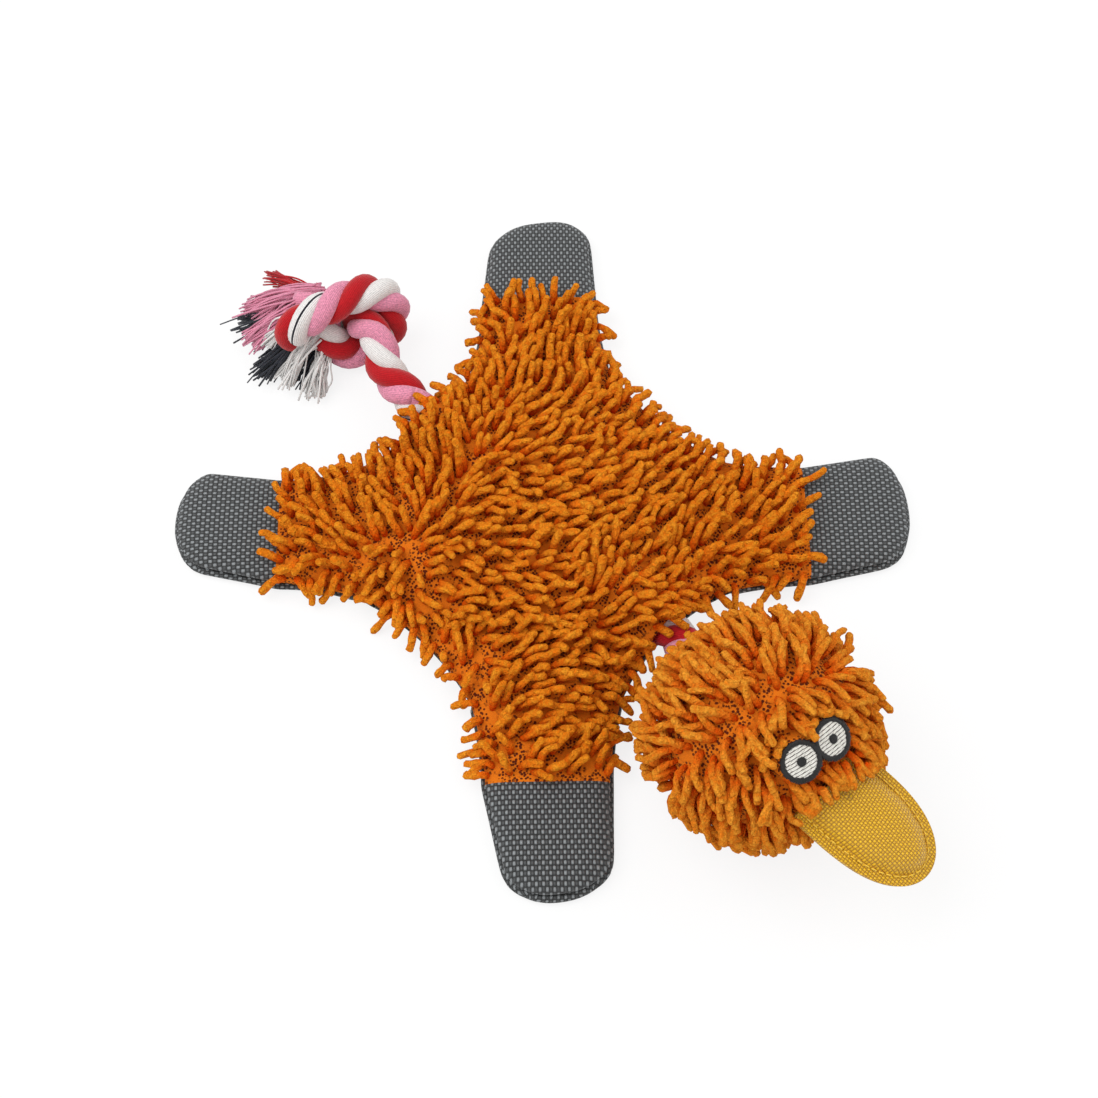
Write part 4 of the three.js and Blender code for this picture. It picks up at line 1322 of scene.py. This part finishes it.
class DUCK_OT_head_cover(bpy.types.Operator):
    """The knitted backing of the head, in an upper and a lower half"""

    bl_idname = "duck.head_cover"
    bl_label = "Head Cover"

    def execute(self, context):
        backing = kept("head_backing", backing_finish, tuple(sizes("colours").backing))
        into = (HEAD - pivot("head_turn")).normalized()
        for half, sign in (("upper", 1), ("lower", -1)):
            ball = bmesh.new()
            bmesh.ops.create_icosphere(ball, subdivisions=BALL_PARTS, radius=1)
            geometry = ball.verts[:] + ball.edges[:] + ball.faces[:]
            bmesh.ops.bisect_plane(
                ball, geom=geometry, dist=1e-5, plane_co=(0, 0, 0), plane_no=(0, 0, -sign), clear_outer=True
            )
            bmesh.ops.scale(ball, verts=ball.verts, vec=(HEAD_RADIUS, HEAD_RADIUS, HEAD_HALF_HEIGHT))
            passage = [
                vert
                for vert in ball.verts
                if vert.co.dot(into) < 0 and (vert.co - into * vert.co.dot(into)).length < PASSAGE_RADIUS
            ]
            bmesh.ops.delete(ball, geom=passage, context="VERTS")
            for vert in ball.verts:
                way = vert.co.normalized()
                nearest = min(way.angle(eye_middle(side)) for side in SIDES)
                raised = float(smooth((EYE_SLOPE - nearest) / (EYE_SLOPE - EYE_SPREAD)))
                vert.co *= mix(1.0, EYE_RADIUS / HEAD_RADIUS, raised)
            bmesh.ops.translate(ball, verts=ball.verts, vec=HEAD)
            name = f"head_{half}_backing"
            mesh = finished(name, ball)
            store_rest(mesh)
            piece = add_object(name, mesh, [backing], "head", [f"head_{half}_cover"])
            add_wall(piece, sizes("cloth").thickness)
        return {"FINISHED"}


BILL_HEADING = math.radians(8 - 90)  # 8 degrees to the left of straight ahead
BILL_DROP = math.radians(19)  # of its tip


def bill_frame():
    """The bill's frame: X along it, Y across it, Z up."""
    turn = Matrix.Rotation(BILL_HEADING, 4, "Z") @ Matrix.Rotation(BILL_DROP, 4, "Y")
    return Matrix.Translation(pivot("bill_flex")) @ turn


BILL_POWER = 2.6  # how square the bill's tip is: 2 is an ellipse
BILL_BARE = -5.5 * MM  # where the pile ends on the bill, along it
BILL_BARE_SLANT = 0.4  # and how much further out at its left side
BILL_SLOPE = 10 * MM  # width over which the pile's bed rises on the bill
BILL_PILE_GAP = 1.2 * MM
BILL_PILE_UNDER = -2 * MM  # noodles below this are kept under the bill
LEAST_RINGS = 3  # of a noodle that is cut short


def clear_of_bill(points, radii):
    """Lifts the head's pile off the bill, and ends noodles where they would lie too far out on it."""
    bill = sizes("bill")
    spots = placed(points, bill_frame().inverted())
    share = np.clip(spots[..., 0] / bill.length, 0, 1)
    half = bill.half_width * np.sqrt(np.clip(1 - share**BILL_POWER, 0, 1)) + radii
    along = (spots[..., 0] > -bill.side) & (spots[..., 0] < bill.length)
    inside = (np.abs(spots[..., 1]) < half) & along
    crown = bill.crown * rounded(half - np.abs(spots[..., 1]), BILL_SLOPE) + BILL_PILE_GAP
    above = spots[..., 2] > BILL_PILE_UNDER
    lifted = np.where(above, np.maximum(spots[..., 2], crown + radii), np.minimum(spots[..., 2], -crown))
    spots[..., 2] = np.where(inside, lifted, spots[..., 2])
    allowed = BILL_BARE + BILL_BARE_SLANT * spots[..., 1]
    beyond = inside & above & (spots[..., 0] > allowed)
    moved = placed(spots, bill_frame())
    rings = points.shape[1]
    left = np.where(beyond.any(axis=1), beyond.argmax(axis=1), rings)
    for path, count in zip(moved, left):
        if LEAST_RINGS <= count < rings:
            path[:] = along_line(np.linspace(0, count - 0.5, rings), np.arange(rings), path)
    return moved, left >= LEAST_RINGS


HEAD_ROOM = 1.12  # each noodle's share of the head's surface, in squares of its pitch
NAPE_BARE = math.radians(24)  # round the rope
EYE_BARE = math.radians(11.5)  # round the middle of each eye
EYE_EDGE = math.radians(12.5)  # no noodle runs closer to the middle of an eye
LOWEST = -0.62  # of the head's directions, below which it has no pile
HEAD_SCATTER = 0.025
HEAD_TIPS = (2, 42)
HEAD_SPREAD = 0.9  # how far the noodles fall away from the parting, against how far they fall down
HEAD_RISE_SHARE = 0.85  # of the body pile's height
HEAD_RADIUS_SHARE = 0.93  # of the body pile's thickness
HEAD_LAYER = 1.8 * MM
HEAD_SWIRL = math.radians(20)
HEAD_LENGTHS = (1.08, 0.6)  # shares of a body noodle's length, at the face and round the rope


class DUCK_OT_head_pile(bpy.types.Operator):
    """The chenille noodles of the head, which fall from its parting"""

    bl_idname = "duck.head_pile"
    bl_label = "Head Pile"

    def execute(self, context):
        pile = sizes("pile")
        rng = np.random.default_rng(23)
        count = round(4 * math.pi * HEAD_RADIUS**2 / (pile.head_pitch * pile.head_pitch * HEAD_ROOM))
        order = np.arange(count) + 0.5
        level = 1 - 2 * order / count
        turn = order * math.pi * (1 + math.sqrt(5))
        ring = np.sqrt(1 - level**2)
        ways = np.stack([ring * np.cos(turn), ring * np.sin(turn), level], axis=1)
        ways = unit(ways + rng.normal(0, HEAD_SCATTER, ways.shape))
        into = np.array((HEAD - pivot("head_turn")).normalized())
        eyes = [np.array(eye_middle(side)) for side in SIDES]
        nape = ways @ -into
        clear = (nape < math.cos(NAPE_BARE)) & (ways[:, 2] > LOWEST)
        for eye in eyes:
            clear &= ways @ eye < math.cos(EYE_BARE)
        ways, nape = ways[clear], nape[clear]
        start, end = (np.array((x, y, PARTING_HEIGHT)) * MM for x, y in PARTING)
        off_parting = np.cross(unit(end - start), UP)
        side = np.sum(ways * off_parting, axis=1, keepdims=True)
        count = len(ways)
        ahead, height, drift = pile_profile(count, rng, HEAD_TIPS)
        shorter = mix(*HEAD_LENGTHS, smooth((nape - 0.3) / 0.4))[:, None]
        ahead, height = ahead * shorter, height * shorter
        radii = noodle_radii(count, rng) * HEAD_RADIUS_SHARE
        swirl = rng.normal(0, HEAD_SWIRL, count)
        paths = np.zeros((count, pile.rings, 3))
        here = ways.copy()
        layer = rng.uniform(0, HEAD_LAYER, (count, 1)) * np.linspace(0, 1, pile.rings)
        for k in range(pile.rings):
            surface = head_reach(here)
            paths[:, k] = here * (surface + height[:, k] * HEAD_RISE_SHARE + layer[:, k])[:, None]
            down = np.sign(side) * off_parting * HEAD_SPREAD - np.array(UP)
            down = unit(down - np.sum(down * here, axis=1, keepdims=True) * here)
            across = np.cross(here, down)
            angle = (swirl + drift[:, k])[:, None]
            step = (down * np.cos(angle) + across * np.sin(angle)) * ahead[:, k, None]
            here = unit(here * surface[:, None] + step)
            for eye in eyes:
                lean = np.sum(here * eye, axis=1, keepdims=True)
                away = unit(here - lean * eye)
                pushed = eye * math.cos(EYE_EDGE) + away * math.sin(EYE_EDGE)
                here = np.where(lean > math.cos(EYE_EDGE), pushed, here)
        paths, clear = clear_of_bill(paths + np.array(HEAD), radii)
        paths, radii = paths[clear], radii[clear]
        paths[..., 2] = np.maximum(paths[..., 2], radii + NOODLE_CLEAR)
        shades = rng.uniform(0, 1, len(paths))
        plush = kept("head_chenille", pile_finish, tuple(sizes("colours").head_plush))
        mesh = strand_mesh("head_pile", paths, radii, pile.sides, shades, ragged=rng)
        add_object("head_pile", mesh, [plush], "head", ["head_upper_cover"])
        return {"FINISHED"}


THREAD_HEADING = Vector((0.80, -0.45, 0.39))  # the eyes' white threads, across the face
EYE_PLANE = 39 * MM  # from the head's middle to the flat plane in which an eye is laid out
WHITE_RADIUS = 5.9 * MM
WHITE_ROWS = np.tile((0.42, 0.74), 12) * MM  # from one row of white threads to the next
WHITE_LENGTHS = (2.2, 3.4)  # the least and greatest length of a white thread, in millimetres
WHITE_LEAST = 0.5 * MM  # shorter ends at the edge are left out
WHITE_SLANT = 0.12 * MM
WHITE_GAP = 0.1 * MM
BORDER_INNER = 5.65 * MM
BORDER_OUTER = 7.3 * MM
BORDER_THREADS = 110
BORDER_THICKER = 1.15  # than the other threads
PUPIL_RADIUS = 1.55 * MM
PUPIL_THREADS = 8
BASE_SIDES = 32
BASE_LIFT = 0.62 * MM
WHITE_LIFT, BORDER_LIFT, PUPIL_LIFT = 0.8 * MM, 1.15 * MM, 1.3 * MM
THREAD_ARCH = 0.25 * MM
THREAD_SIDES = 6


def on_head(points, lift):
    """Sets points beside the head on to its surface, lifted by a height."""
    ways = unit(points - np.array(HEAD))
    return np.array(HEAD) + ways * (head_reach(ways, EYE_RADIUS, EYE_HALF_HEIGHT)[..., None] + lift)


def stitches(middle, along, across, spans, lift, rings):
    """Short threads over the head from spans: rows of start and end in the eye's own plane."""
    spans = np.array(spans)
    share = np.linspace(0, 1, rings)[None, :, None]
    flat = spans[:, 0, None] * (1 - share) + spans[:, 1, None] * share
    points = middle + flat[..., :1] * along + flat[..., 1:] * across
    arch = np.sin(np.linspace(0, math.pi, rings))[None, :] ** 0.5 * THREAD_ARCH
    return on_head(points, (lift + arch)[..., None])


def white_spans(rng):
    """The rows of white threads, each one cut at the white's edge."""
    spans = []
    for row in -WHITE_RADIUS + np.cumsum(WHITE_ROWS):
        reach = math.sqrt(max(0.0, WHITE_RADIUS**2 - row**2))
        at = -reach - rng.uniform(0, 2) * MM
        while at < reach:
            ahead = at + rng.uniform(*WHITE_LENGTHS) * MM
            start, end = max(at, -reach), min(ahead, reach)
            if end - start > WHITE_LEAST:
                spans.append(((start, row), (end, row + WHITE_SLANT)))
            at = ahead + WHITE_GAP
    return spans


def border_spans(rng):
    """The black threads of the border, which point away from the eye's middle."""
    spans = []
    for k in range(BORDER_THREADS):
        turn = 2 * math.pi * (k + rng.uniform(-0.25, 0.25)) / BORDER_THREADS
        inner = BORDER_INNER + rng.normal(0, 0.1 * MM)
        outer = BORDER_OUTER + rng.normal(0, 0.14 * MM)
        way_out = np.array((math.cos(turn), math.sin(turn)))
        spans.append((way_out * inner, way_out * outer))
    return spans


def pupil_spans():
    """The short rows of the pupil."""
    spans = []
    for row in np.linspace(-0.85, 0.85, PUPIL_THREADS) * PUPIL_RADIUS:
        reach = math.sqrt(PUPIL_RADIUS**2 - row**2)
        spans.append(((-reach, row), (reach, row)))
    return spans


class DUCK_OT_eyes(bpy.types.Operator):
    """The two embroidered eyes"""

    bl_idname = "duck.eyes"
    bl_label = "Eyes"

    def execute(self, context):
        radius = sizes("eyes").thread_radius
        rng = np.random.default_rng(31)
        white = kept("white_satin", thread_finish, (0.93, 0.92, 0.89))
        # painted shade: a grey disc under the stitches, seen as the shade in the gaps between the white
        # threads
        under = kept("eye_base", thread_finish, (0.56, 0.52, 0.51))
        black = kept("black_satin", thread_finish, (0.035, 0.03, 0.03))
        for side in SIDES:
            way = eye_middle(side)
            middle = np.array(HEAD + way * EYE_PLANE)
            along = (THREAD_HEADING - way * THREAD_HEADING.dot(way)).normalized()
            across = np.array(way.cross(along))
            along = np.array(along)
            groups = (
                ("white", white_spans(rng), white, WHITE_LIFT, 7),
                ("border", border_spans(rng), black, BORDER_LIFT, 5),
                ("pupil", pupil_spans(), black, PUPIL_LIFT, 5),
            )
            base = bmesh.new()
            disc = {"cap_ends": True, "cap_tris": True, "segments": BASE_SIDES, "radius": BORDER_INNER * 1.1}
            bmesh.ops.create_circle(base, **disc)
            flat = rows_of(vert.co for vert in base.verts)
            spots = on_head(middle + flat[:, :1] * along + flat[:, 1:2] * across, BASE_LIFT)
            for vert, spot in zip(base.verts, spots):
                vert.co = spot
            bmesh.ops.recalc_face_normals(base, faces=base.faces)
            mesh = finished(f"eye_{side}_base", base)
            store_rest(mesh)
            add_object(f"eye_{side}_base", mesh, [under], "head", [f"eye_{side}_white"])
            for part, spans, material, lift, rings in groups:
                paths = stitches(middle, along, across, spans, lift, rings)
                radii = np.full(paths.shape[:2], radius * (BORDER_THICKER if part == "border" else 1.0))
                name = f"eye_{side}_{part}_thread"
                mesh = strand_mesh(name, paths, radii, THREAD_SIDES)
                add_object(name, mesh, [material], "head", [f"eye_{side}_{part}"])
        return {"FINISHED"}


BILL_PARTS = 72
BILL_SIDE = 5  # parts of the outline along each straight side
BILL_ROOT = 16  # and along the root
BILL_SHARES = (0.985, 0.955, 0.92, 0.88, 0.83, 0.77, 0.7, 0.61, 0.5, 0.38, 0.25, 0.12)
BILL_POLE = Vector((-7, 0, 0)) * MM  # the point that its rings close in on
BILL_ROUNDING = 8 * MM  # width over which a panel rises from its rim
BILL_SEAM = 0.15 * MM  # half of the gap between the panels
BILL_CREASE = 0.35 * MM
BILL_THICKNESS = 0.7 * MM
BILL_BEND = 3.5 * MM  # half of the length that bends between head and bill
STITCH_INSET = 3.2 * MM
STITCH_START = 1 * MM
STITCH_LENGTH = 1.9 * MM
STITCH_PITCH = 2.7 * MM
STITCH_END = 2 * MM  # kept free at the seam's end
STITCH_RADIUS = 0.27 * MM
STITCH_LIFT = 1.3 * MM
STITCH_ARCH = np.array((0.0, 0.25, 0.32, 0.25, 0.0)) * MM


def bill_outline(bill, shrink=0.0):
    """The bill's outline in its frame: one side, round the tip, the other side, and back along its root."""
    half = bill.half_width - shrink
    round_tip = BILL_PARTS - BILL_ROOT - 2 * BILL_SIDE
    places = []
    for step in range(BILL_SIDE):
        share = 1 - step / BILL_SIDE
        places.append(Vector((-bill.side * share, -half * (1 - 0.04 * share), 0)))
    for step in range(round_tip):
        turn = math.pi * (step / round_tip - 0.5)
        along = abs(math.cos(turn)) ** (2 / BILL_POWER)
        places.append(Vector(((bill.length - shrink) * along, half * math.sin(turn), 0)))
    for step in range(BILL_SIDE):
        share = step / BILL_SIDE
        places.append(Vector((-bill.side * share, half * (1 - 0.04 * share), 0)))
    for step in range(BILL_ROOT):
        across = 1 - 2 * step / BILL_ROOT
        places.append(Vector((-bill.side + 2 * MM * (1 - across**2), half * 0.96 * across, 0)))
    return places


def bill_panel(bill, sign):
    """One panel: flat along its stitched rim and puffed inside it."""
    panel = bmesh.new()
    ringed_sheet(panel, bill_outline(bill), BILL_SHARES, BILL_POLE)
    places = rows_of(vert.co for vert in panel.verts)
    rim = rows_of(bill_outline(bill))[: BILL_PARTS - BILL_ROOT + 1]
    fine = np.concatenate([rim[:-1] * (1 - s) + rim[1:] * s for s in (0, 0.25, 0.5, 0.75)])
    inset = np.linalg.norm(places[:, None, :2] - fine[None, :, :2], axis=2).min(axis=1)
    puff = rounded(inset - bill.rim, BILL_ROUNDING) * (0.85 + 0.15 * smooth(places[:, 0] / (12 * MM)))
    rise = bill.crown if sign > 0 else bill.keel
    noise_way = Vector((7, 3, 1))
    for vert, share in zip(panel.verts, puff):
        crease = noise.noise(vert.co * 120 + noise_way * sign) * BILL_CREASE * share
        vert.co.z = sign * (BILL_SEAM + sizes("cloth").thickness + rise * share + crease)
    bmesh.ops.recalc_face_normals(panel, faces=panel.faces)
    if sum(face.normal.z for face in panel.faces) * sign < 0:
        bmesh.ops.reverse_faces(panel, faces=panel.faces)
    return panel


def bill_blend():
    """The bill's bend as data: the head at its root, the bill beyond it, and the two ends of the bend."""
    frame_of = bill_frame()
    half = Vector((BILL_BEND, 0, 0))
    return "head", "bill", frame_of @ -half, frame_of @ half


class DUCK_OT_bill(bpy.types.Operator):
    """The padded nylon bill with its stitched edge"""

    bl_idname = "duck.bill"
    bl_label = "Bill"

    def execute(self, context):
        bill = sizes("bill")
        nylon = kept("yellow_nylon_weave", yellow_weave, tuple(sizes("colours").yellow)), "yellow_nylon"
        thread = kept("yellow_thread", thread_finish, (0.96, 0.78, 0.24))
        frame_of = bill_frame()
        looks = {"blended": bill_blend(), "thickness": BILL_THICKNESS}
        for half, sign in (("upper", 1), ("lower", -1)):
            panel = bill_panel(bill, sign)
            panel.transform(frame_of)
            cloth_piece(f"bill_{half}_panel", panel, frame_of, nylon, f"bill_{half}", **looks)
        seam = bill_outline(bill, STITCH_INSET)[: BILL_PARTS - BILL_ROOT]
        line = route_line(seam, 0.5 * MM)
        gone = travelled(line)
        paths = []
        at = STITCH_START
        while at + STITCH_END < gone[-1]:
            paths.append(along_line(np.linspace(at, at + STITCH_LENGTH, len(STITCH_ARCH)), gone, line))
            at += STITCH_PITCH
        paths = np.array(paths)
        paths[..., 2] = STITCH_LIFT + STITCH_ARCH
        paths = placed(paths, frame_of)
        radii = np.full(paths.shape[:2], STITCH_RADIUS)
        mesh = strand_mesh("bill_stitches", paths, radii, THREAD_SIDES)
        piece = add_object("bill_stitches", mesh, [thread], replaced=["bill_upper"])
        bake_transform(piece)
        return {"FINISHED"}


FILL_GAP = 1.0 * MM  # from the outside of the head's cover to its filling
BILL_MIDDLE = Vector((12, 0, 0)) * MM
BILL_FILL_SCALE = (0.86, 0.8, 0.85)
SAME_SPOT = 0.01 * MM
LONG_EDGE = 6 * MM  # edges longer than this are cut in three
FIBRE_LUMP = 300  # lumps in a metre, of the fibre's uneven surface
FILLINGS = {
    "torso_wadding": "torso",
    "leg_front_left_wadding": "leg_front_left",
    "leg_front_right_wadding": "leg_front_right",
    "leg_rear_left_wadding": "leg_rear_left",
    "leg_rear_right_wadding": "leg_rear_right",
    "head_upper_stuffing": "head",
    "head_lower_stuffing": "head",
    "bill_wadding": "bill",
}


class DUCK_OT_fillings(bpy.types.Operator):
    """The fibre inside the torso, legs, head and bill"""

    bl_idname = "duck.fillings"
    bl_label = "Fillings"

    def execute(self, context):
        fibre = kept("fibre", fibre_finish)
        for node, body in FILLINGS.items():
            fill = bmesh.new()
            fill.from_mesh(NODES[node].data)
            bmesh.ops.remove_doubles(fill, verts=fill.verts, dist=SAME_SPOT)
            long_edges = [edge for edge in fill.edges if edge.calc_length() > LONG_EDGE]
            bmesh.ops.subdivide_edges(fill, edges=long_edges, cuts=2, use_grid_fill=True)
            bmesh.ops.triangulate(fill, faces=fill.faces)
            fill.normal_update()
            if body.startswith("leg"):
                lean_paws(fill.verts)
            if body == "head":
                for vert in fill.verts:
                    way = (vert.co - HEAD).normalized()
                    inside = head_reach(np.array(way), HEAD_RADIUS - FILL_GAP, HEAD_HALF_HEIGHT - FILL_GAP)
                    vert.co = HEAD + way * min((vert.co - HEAD).length, float(inside))
            if body == "bill":
                space = (bill_frame() @ Matrix.Translation(BILL_MIDDLE)).inverted()
                bmesh.ops.scale(fill, verts=fill.verts, vec=BILL_FILL_SCALE, space=space)
            for vert in fill.verts:
                depth = 0.25 + 0.35 * abs(noise.noise(vert.co * FIBRE_LUMP))
                vert.co -= vert.normal * depth * MM
            name = f"{node}_fibre"
            piece = add_object(name, finished(name, fill), [fibre], body, [node])
        return {"FINISHED"}


class DUCK_OT_squeaker(bpy.types.Operator):
    """The finishes of the squeaker inside the head"""

    bl_idname = "duck.squeaker"
    bl_label = "Squeaker"

    def execute(self, context):
        shell = kept("soft_shell", moulded_finish, (0.87, 0.85, 0.79), 0.55)
        clear = kept("reed_plastic", moulded_finish, (0.80, 0.84, 0.86), 0.25)
        materials = {"cup": shell, "cap": shell, "reed_tube": clear, "reed": clear}
        for part, material in materials.items():
            mesh = NODES[f"squeaker_{part}"].data
            mesh.materials.clear()
            mesh.materials.append(material)
        return {"FINISHED"}


PHOTO_SIDE = 1098  # pixels
CAMERA_TURN = math.radians(-46)  # round the toy, from its front
CAMERA_RISE = math.radians(66.5)
CAMERA_DISTANCE = 570 * MM
CAMERA_SHIFT = (2.27 * MM, -6.07 * MM)  # to the right and upwards, square to its view
FOCAL_PIXELS = 1500
SENSOR = 36  # millimetres
FLOOR_REACH = 4  # metres
FLOOR_GAP = 0.1 * MM  # under the toy
LAMPS = {  # place in metres, width in metres, power in watts
    "key": ((-0.35, 0.45, 1.0), 0.9, 7.4),
    "fill": ((0.7, -0.5, 0.9), 1.0, 3.2),
}
SKY_STRENGTH = 0.7
FLOOR_GLOW = 0.82  # share of plain white in what the camera sees of the floor


def seen_directly(nodes, links):
    """One where the camera sees a surface itself, in a reflection or through something clear."""
    seen = nodes.new("ShaderNodeLightPath")
    total = seen.outputs["Is Camera Ray"]
    for ray in ("Is Glossy Ray", "Is Transmission Ray"):
        either = nodes.new("ShaderNodeMath")
        either.operation = "MAXIMUM"
        links.new(total, either.inputs[0])
        links.new(seen.outputs[ray], either.inputs[1])
        total = either.outputs[0]
    return total


def floor_finish():
    """White paper: plain white to the camera, with the toy's soft shadow on it."""
    material = bpy.data.materials.new("floor")
    material.use_nodes = True
    nodes, links = material.node_tree.nodes, material.node_tree.links
    paper = nodes["Principled BSDF"]
    paper.inputs["Base Color"].default_value = (0.95, 0.95, 0.95, 1)
    paper.inputs["Roughness"].default_value = 1
    paper.inputs["Specular IOR Level"].default_value = 0
    glow = nodes.new("ShaderNodeEmission")
    mixer = nodes.new("ShaderNodeMixShader")
    share = nodes.new("ShaderNodeMath")
    share.operation = "MULTIPLY"
    share.inputs[1].default_value = FLOOR_GLOW
    links.new(seen_directly(nodes, links), share.inputs[0])
    links.new(share.outputs[0], mixer.inputs[0])
    links.new(paper.outputs[0], mixer.inputs[1])
    links.new(glow.outputs[0], mixer.inputs[2])
    links.new(mixer.outputs[0], nodes["Material Output"].inputs["Surface"])
    return material


class DUCK_OT_stage(bpy.types.Operator):
    """The camera, the white floor and soft studio light"""

    bl_idname = "duck.stage"
    bl_label = "Stage"

    def execute(self, context):
        level = math.cos(CAMERA_RISE)
        back = Vector(
            (math.sin(CAMERA_TURN) * level, -math.cos(CAMERA_TURN) * level, math.sin(CAMERA_RISE))
        )
        right = Vector((math.cos(CAMERA_TURN), math.sin(CAMERA_TURN), 0))
        upwards = back.cross(right)
        lens = bpy.data.cameras.new("camera")
        lens.sensor_width = SENSOR
        lens.lens = SENSOR * FOCAL_PIXELS / PHOTO_SIDE
        lens.clip_start = 0.01
        camera = bpy.data.objects.new("camera", lens)
        place = back * CAMERA_DISTANCE + right * CAMERA_SHIFT[0] + upwards * CAMERA_SHIFT[1]
        camera.matrix_world = axes_matrix(place, right, upwards, back)
        scene = bpy.context.scene
        scene.collection.objects.link(camera)
        scene.camera = camera
        scene.view_settings.view_transform = "Standard"

        floor = bmesh.new()
        bmesh.ops.create_grid(floor, x_segments=2, y_segments=2, size=FLOOR_REACH)
        bmesh.ops.translate(floor, verts=floor.verts, vec=-UP * FLOOR_GAP)
        mesh = finished("floor", floor)
        ground = bpy.data.objects.new("floor", mesh)
        scene.collection.objects.link(ground)
        mesh.materials.append(floor_finish())

        for name, (spot, width, power) in LAMPS.items():
            light = bpy.data.lights.new(name, "AREA")
            light.size = width
            light.energy = power
            lamp = bpy.data.objects.new(name, light)
            lamp.location = spot
            lamp.rotation_euler = (-Vector(spot)).to_track_quat("-Z", "Y").to_euler()
            scene.collection.objects.link(lamp)
        world = bpy.data.worlds.new("studio")
        world.use_nodes = True
        nodes, links = world.node_tree.nodes, world.node_tree.links
        sky = nodes["Background"]
        sky.inputs["Color"].default_value = (1, 1, 1, 1)
        sky.inputs["Strength"].default_value = SKY_STRENGTH
        white = nodes.new("ShaderNodeBackground")
        mixer = nodes.new("ShaderNodeMixShader")
        links.new(seen_directly(nodes, links), mixer.inputs[0])
        links.new(sky.outputs[0], mixer.inputs[1])
        links.new(white.outputs[0], mixer.inputs[2])
        links.new(mixer.outputs[0], nodes["World Output"].inputs["Surface"])
        white.inputs["Color"].default_value = (1, 1, 1, 1)
        scene.world = world
        return {"FINISHED"}


OPERATORS = (
    DUCK_OT_stage,
    DUCK_OT_tail_rope,
    DUCK_OT_body_rope,
    DUCK_OT_skin,
    DUCK_OT_body_pile,
    DUCK_OT_head_cover,
    DUCK_OT_head_pile,
    DUCK_OT_eyes,
    DUCK_OT_bill,
    DUCK_OT_fillings,
    DUCK_OT_squeaker,
)
GROUPS = {
    "duck_cloth": ClothSizes,
    "duck_pile": PileSizes,
    "duck_rope": RopeSizes,
    "duck_eyes": EyeSizes,
    "duck_bill": BillSizes,
    "duck_colours": Colours,
}


class DUCK_PT_panel(bpy.types.Panel):
    """Lists the duck's pieces, sizes and colours"""

    bl_idname = "DUCK_PT_panel"
    bl_label = "Plush Duck"
    bl_space_type = "VIEW_3D"
    bl_region_type = "UI"
    bl_category = "Plush Duck"

    def draw(self, context):
        for operator in OPERATORS:
            self.layout.operator(operator.bl_idname)
        for name, group in GROUPS.items():
            box = self.layout.box()
            settings = getattr(context.scene, name)
            for key in group.__annotations__:
                box.prop(settings, key)


def register():
    for kind in (*GROUPS.values(), *OPERATORS, DUCK_PT_panel):
        bpy.utils.register_class(kind)
    for name, group in GROUPS.items():
        setattr(bpy.types.Scene, name, PointerProperty(type=group))


def unregister():
    for name in GROUPS:
        delattr(bpy.types.Scene, name)
    for kind in reversed((*GROUPS.values(), *OPERATORS, DUCK_PT_panel)):
        bpy.utils.unregister_class(kind)


def main():
    register()
    for operator in OPERATORS:
        group, name = operator.bl_idname.split(".")
        getattr(getattr(bpy.ops, group), name)()


if __name__ == "__main__":
    main()
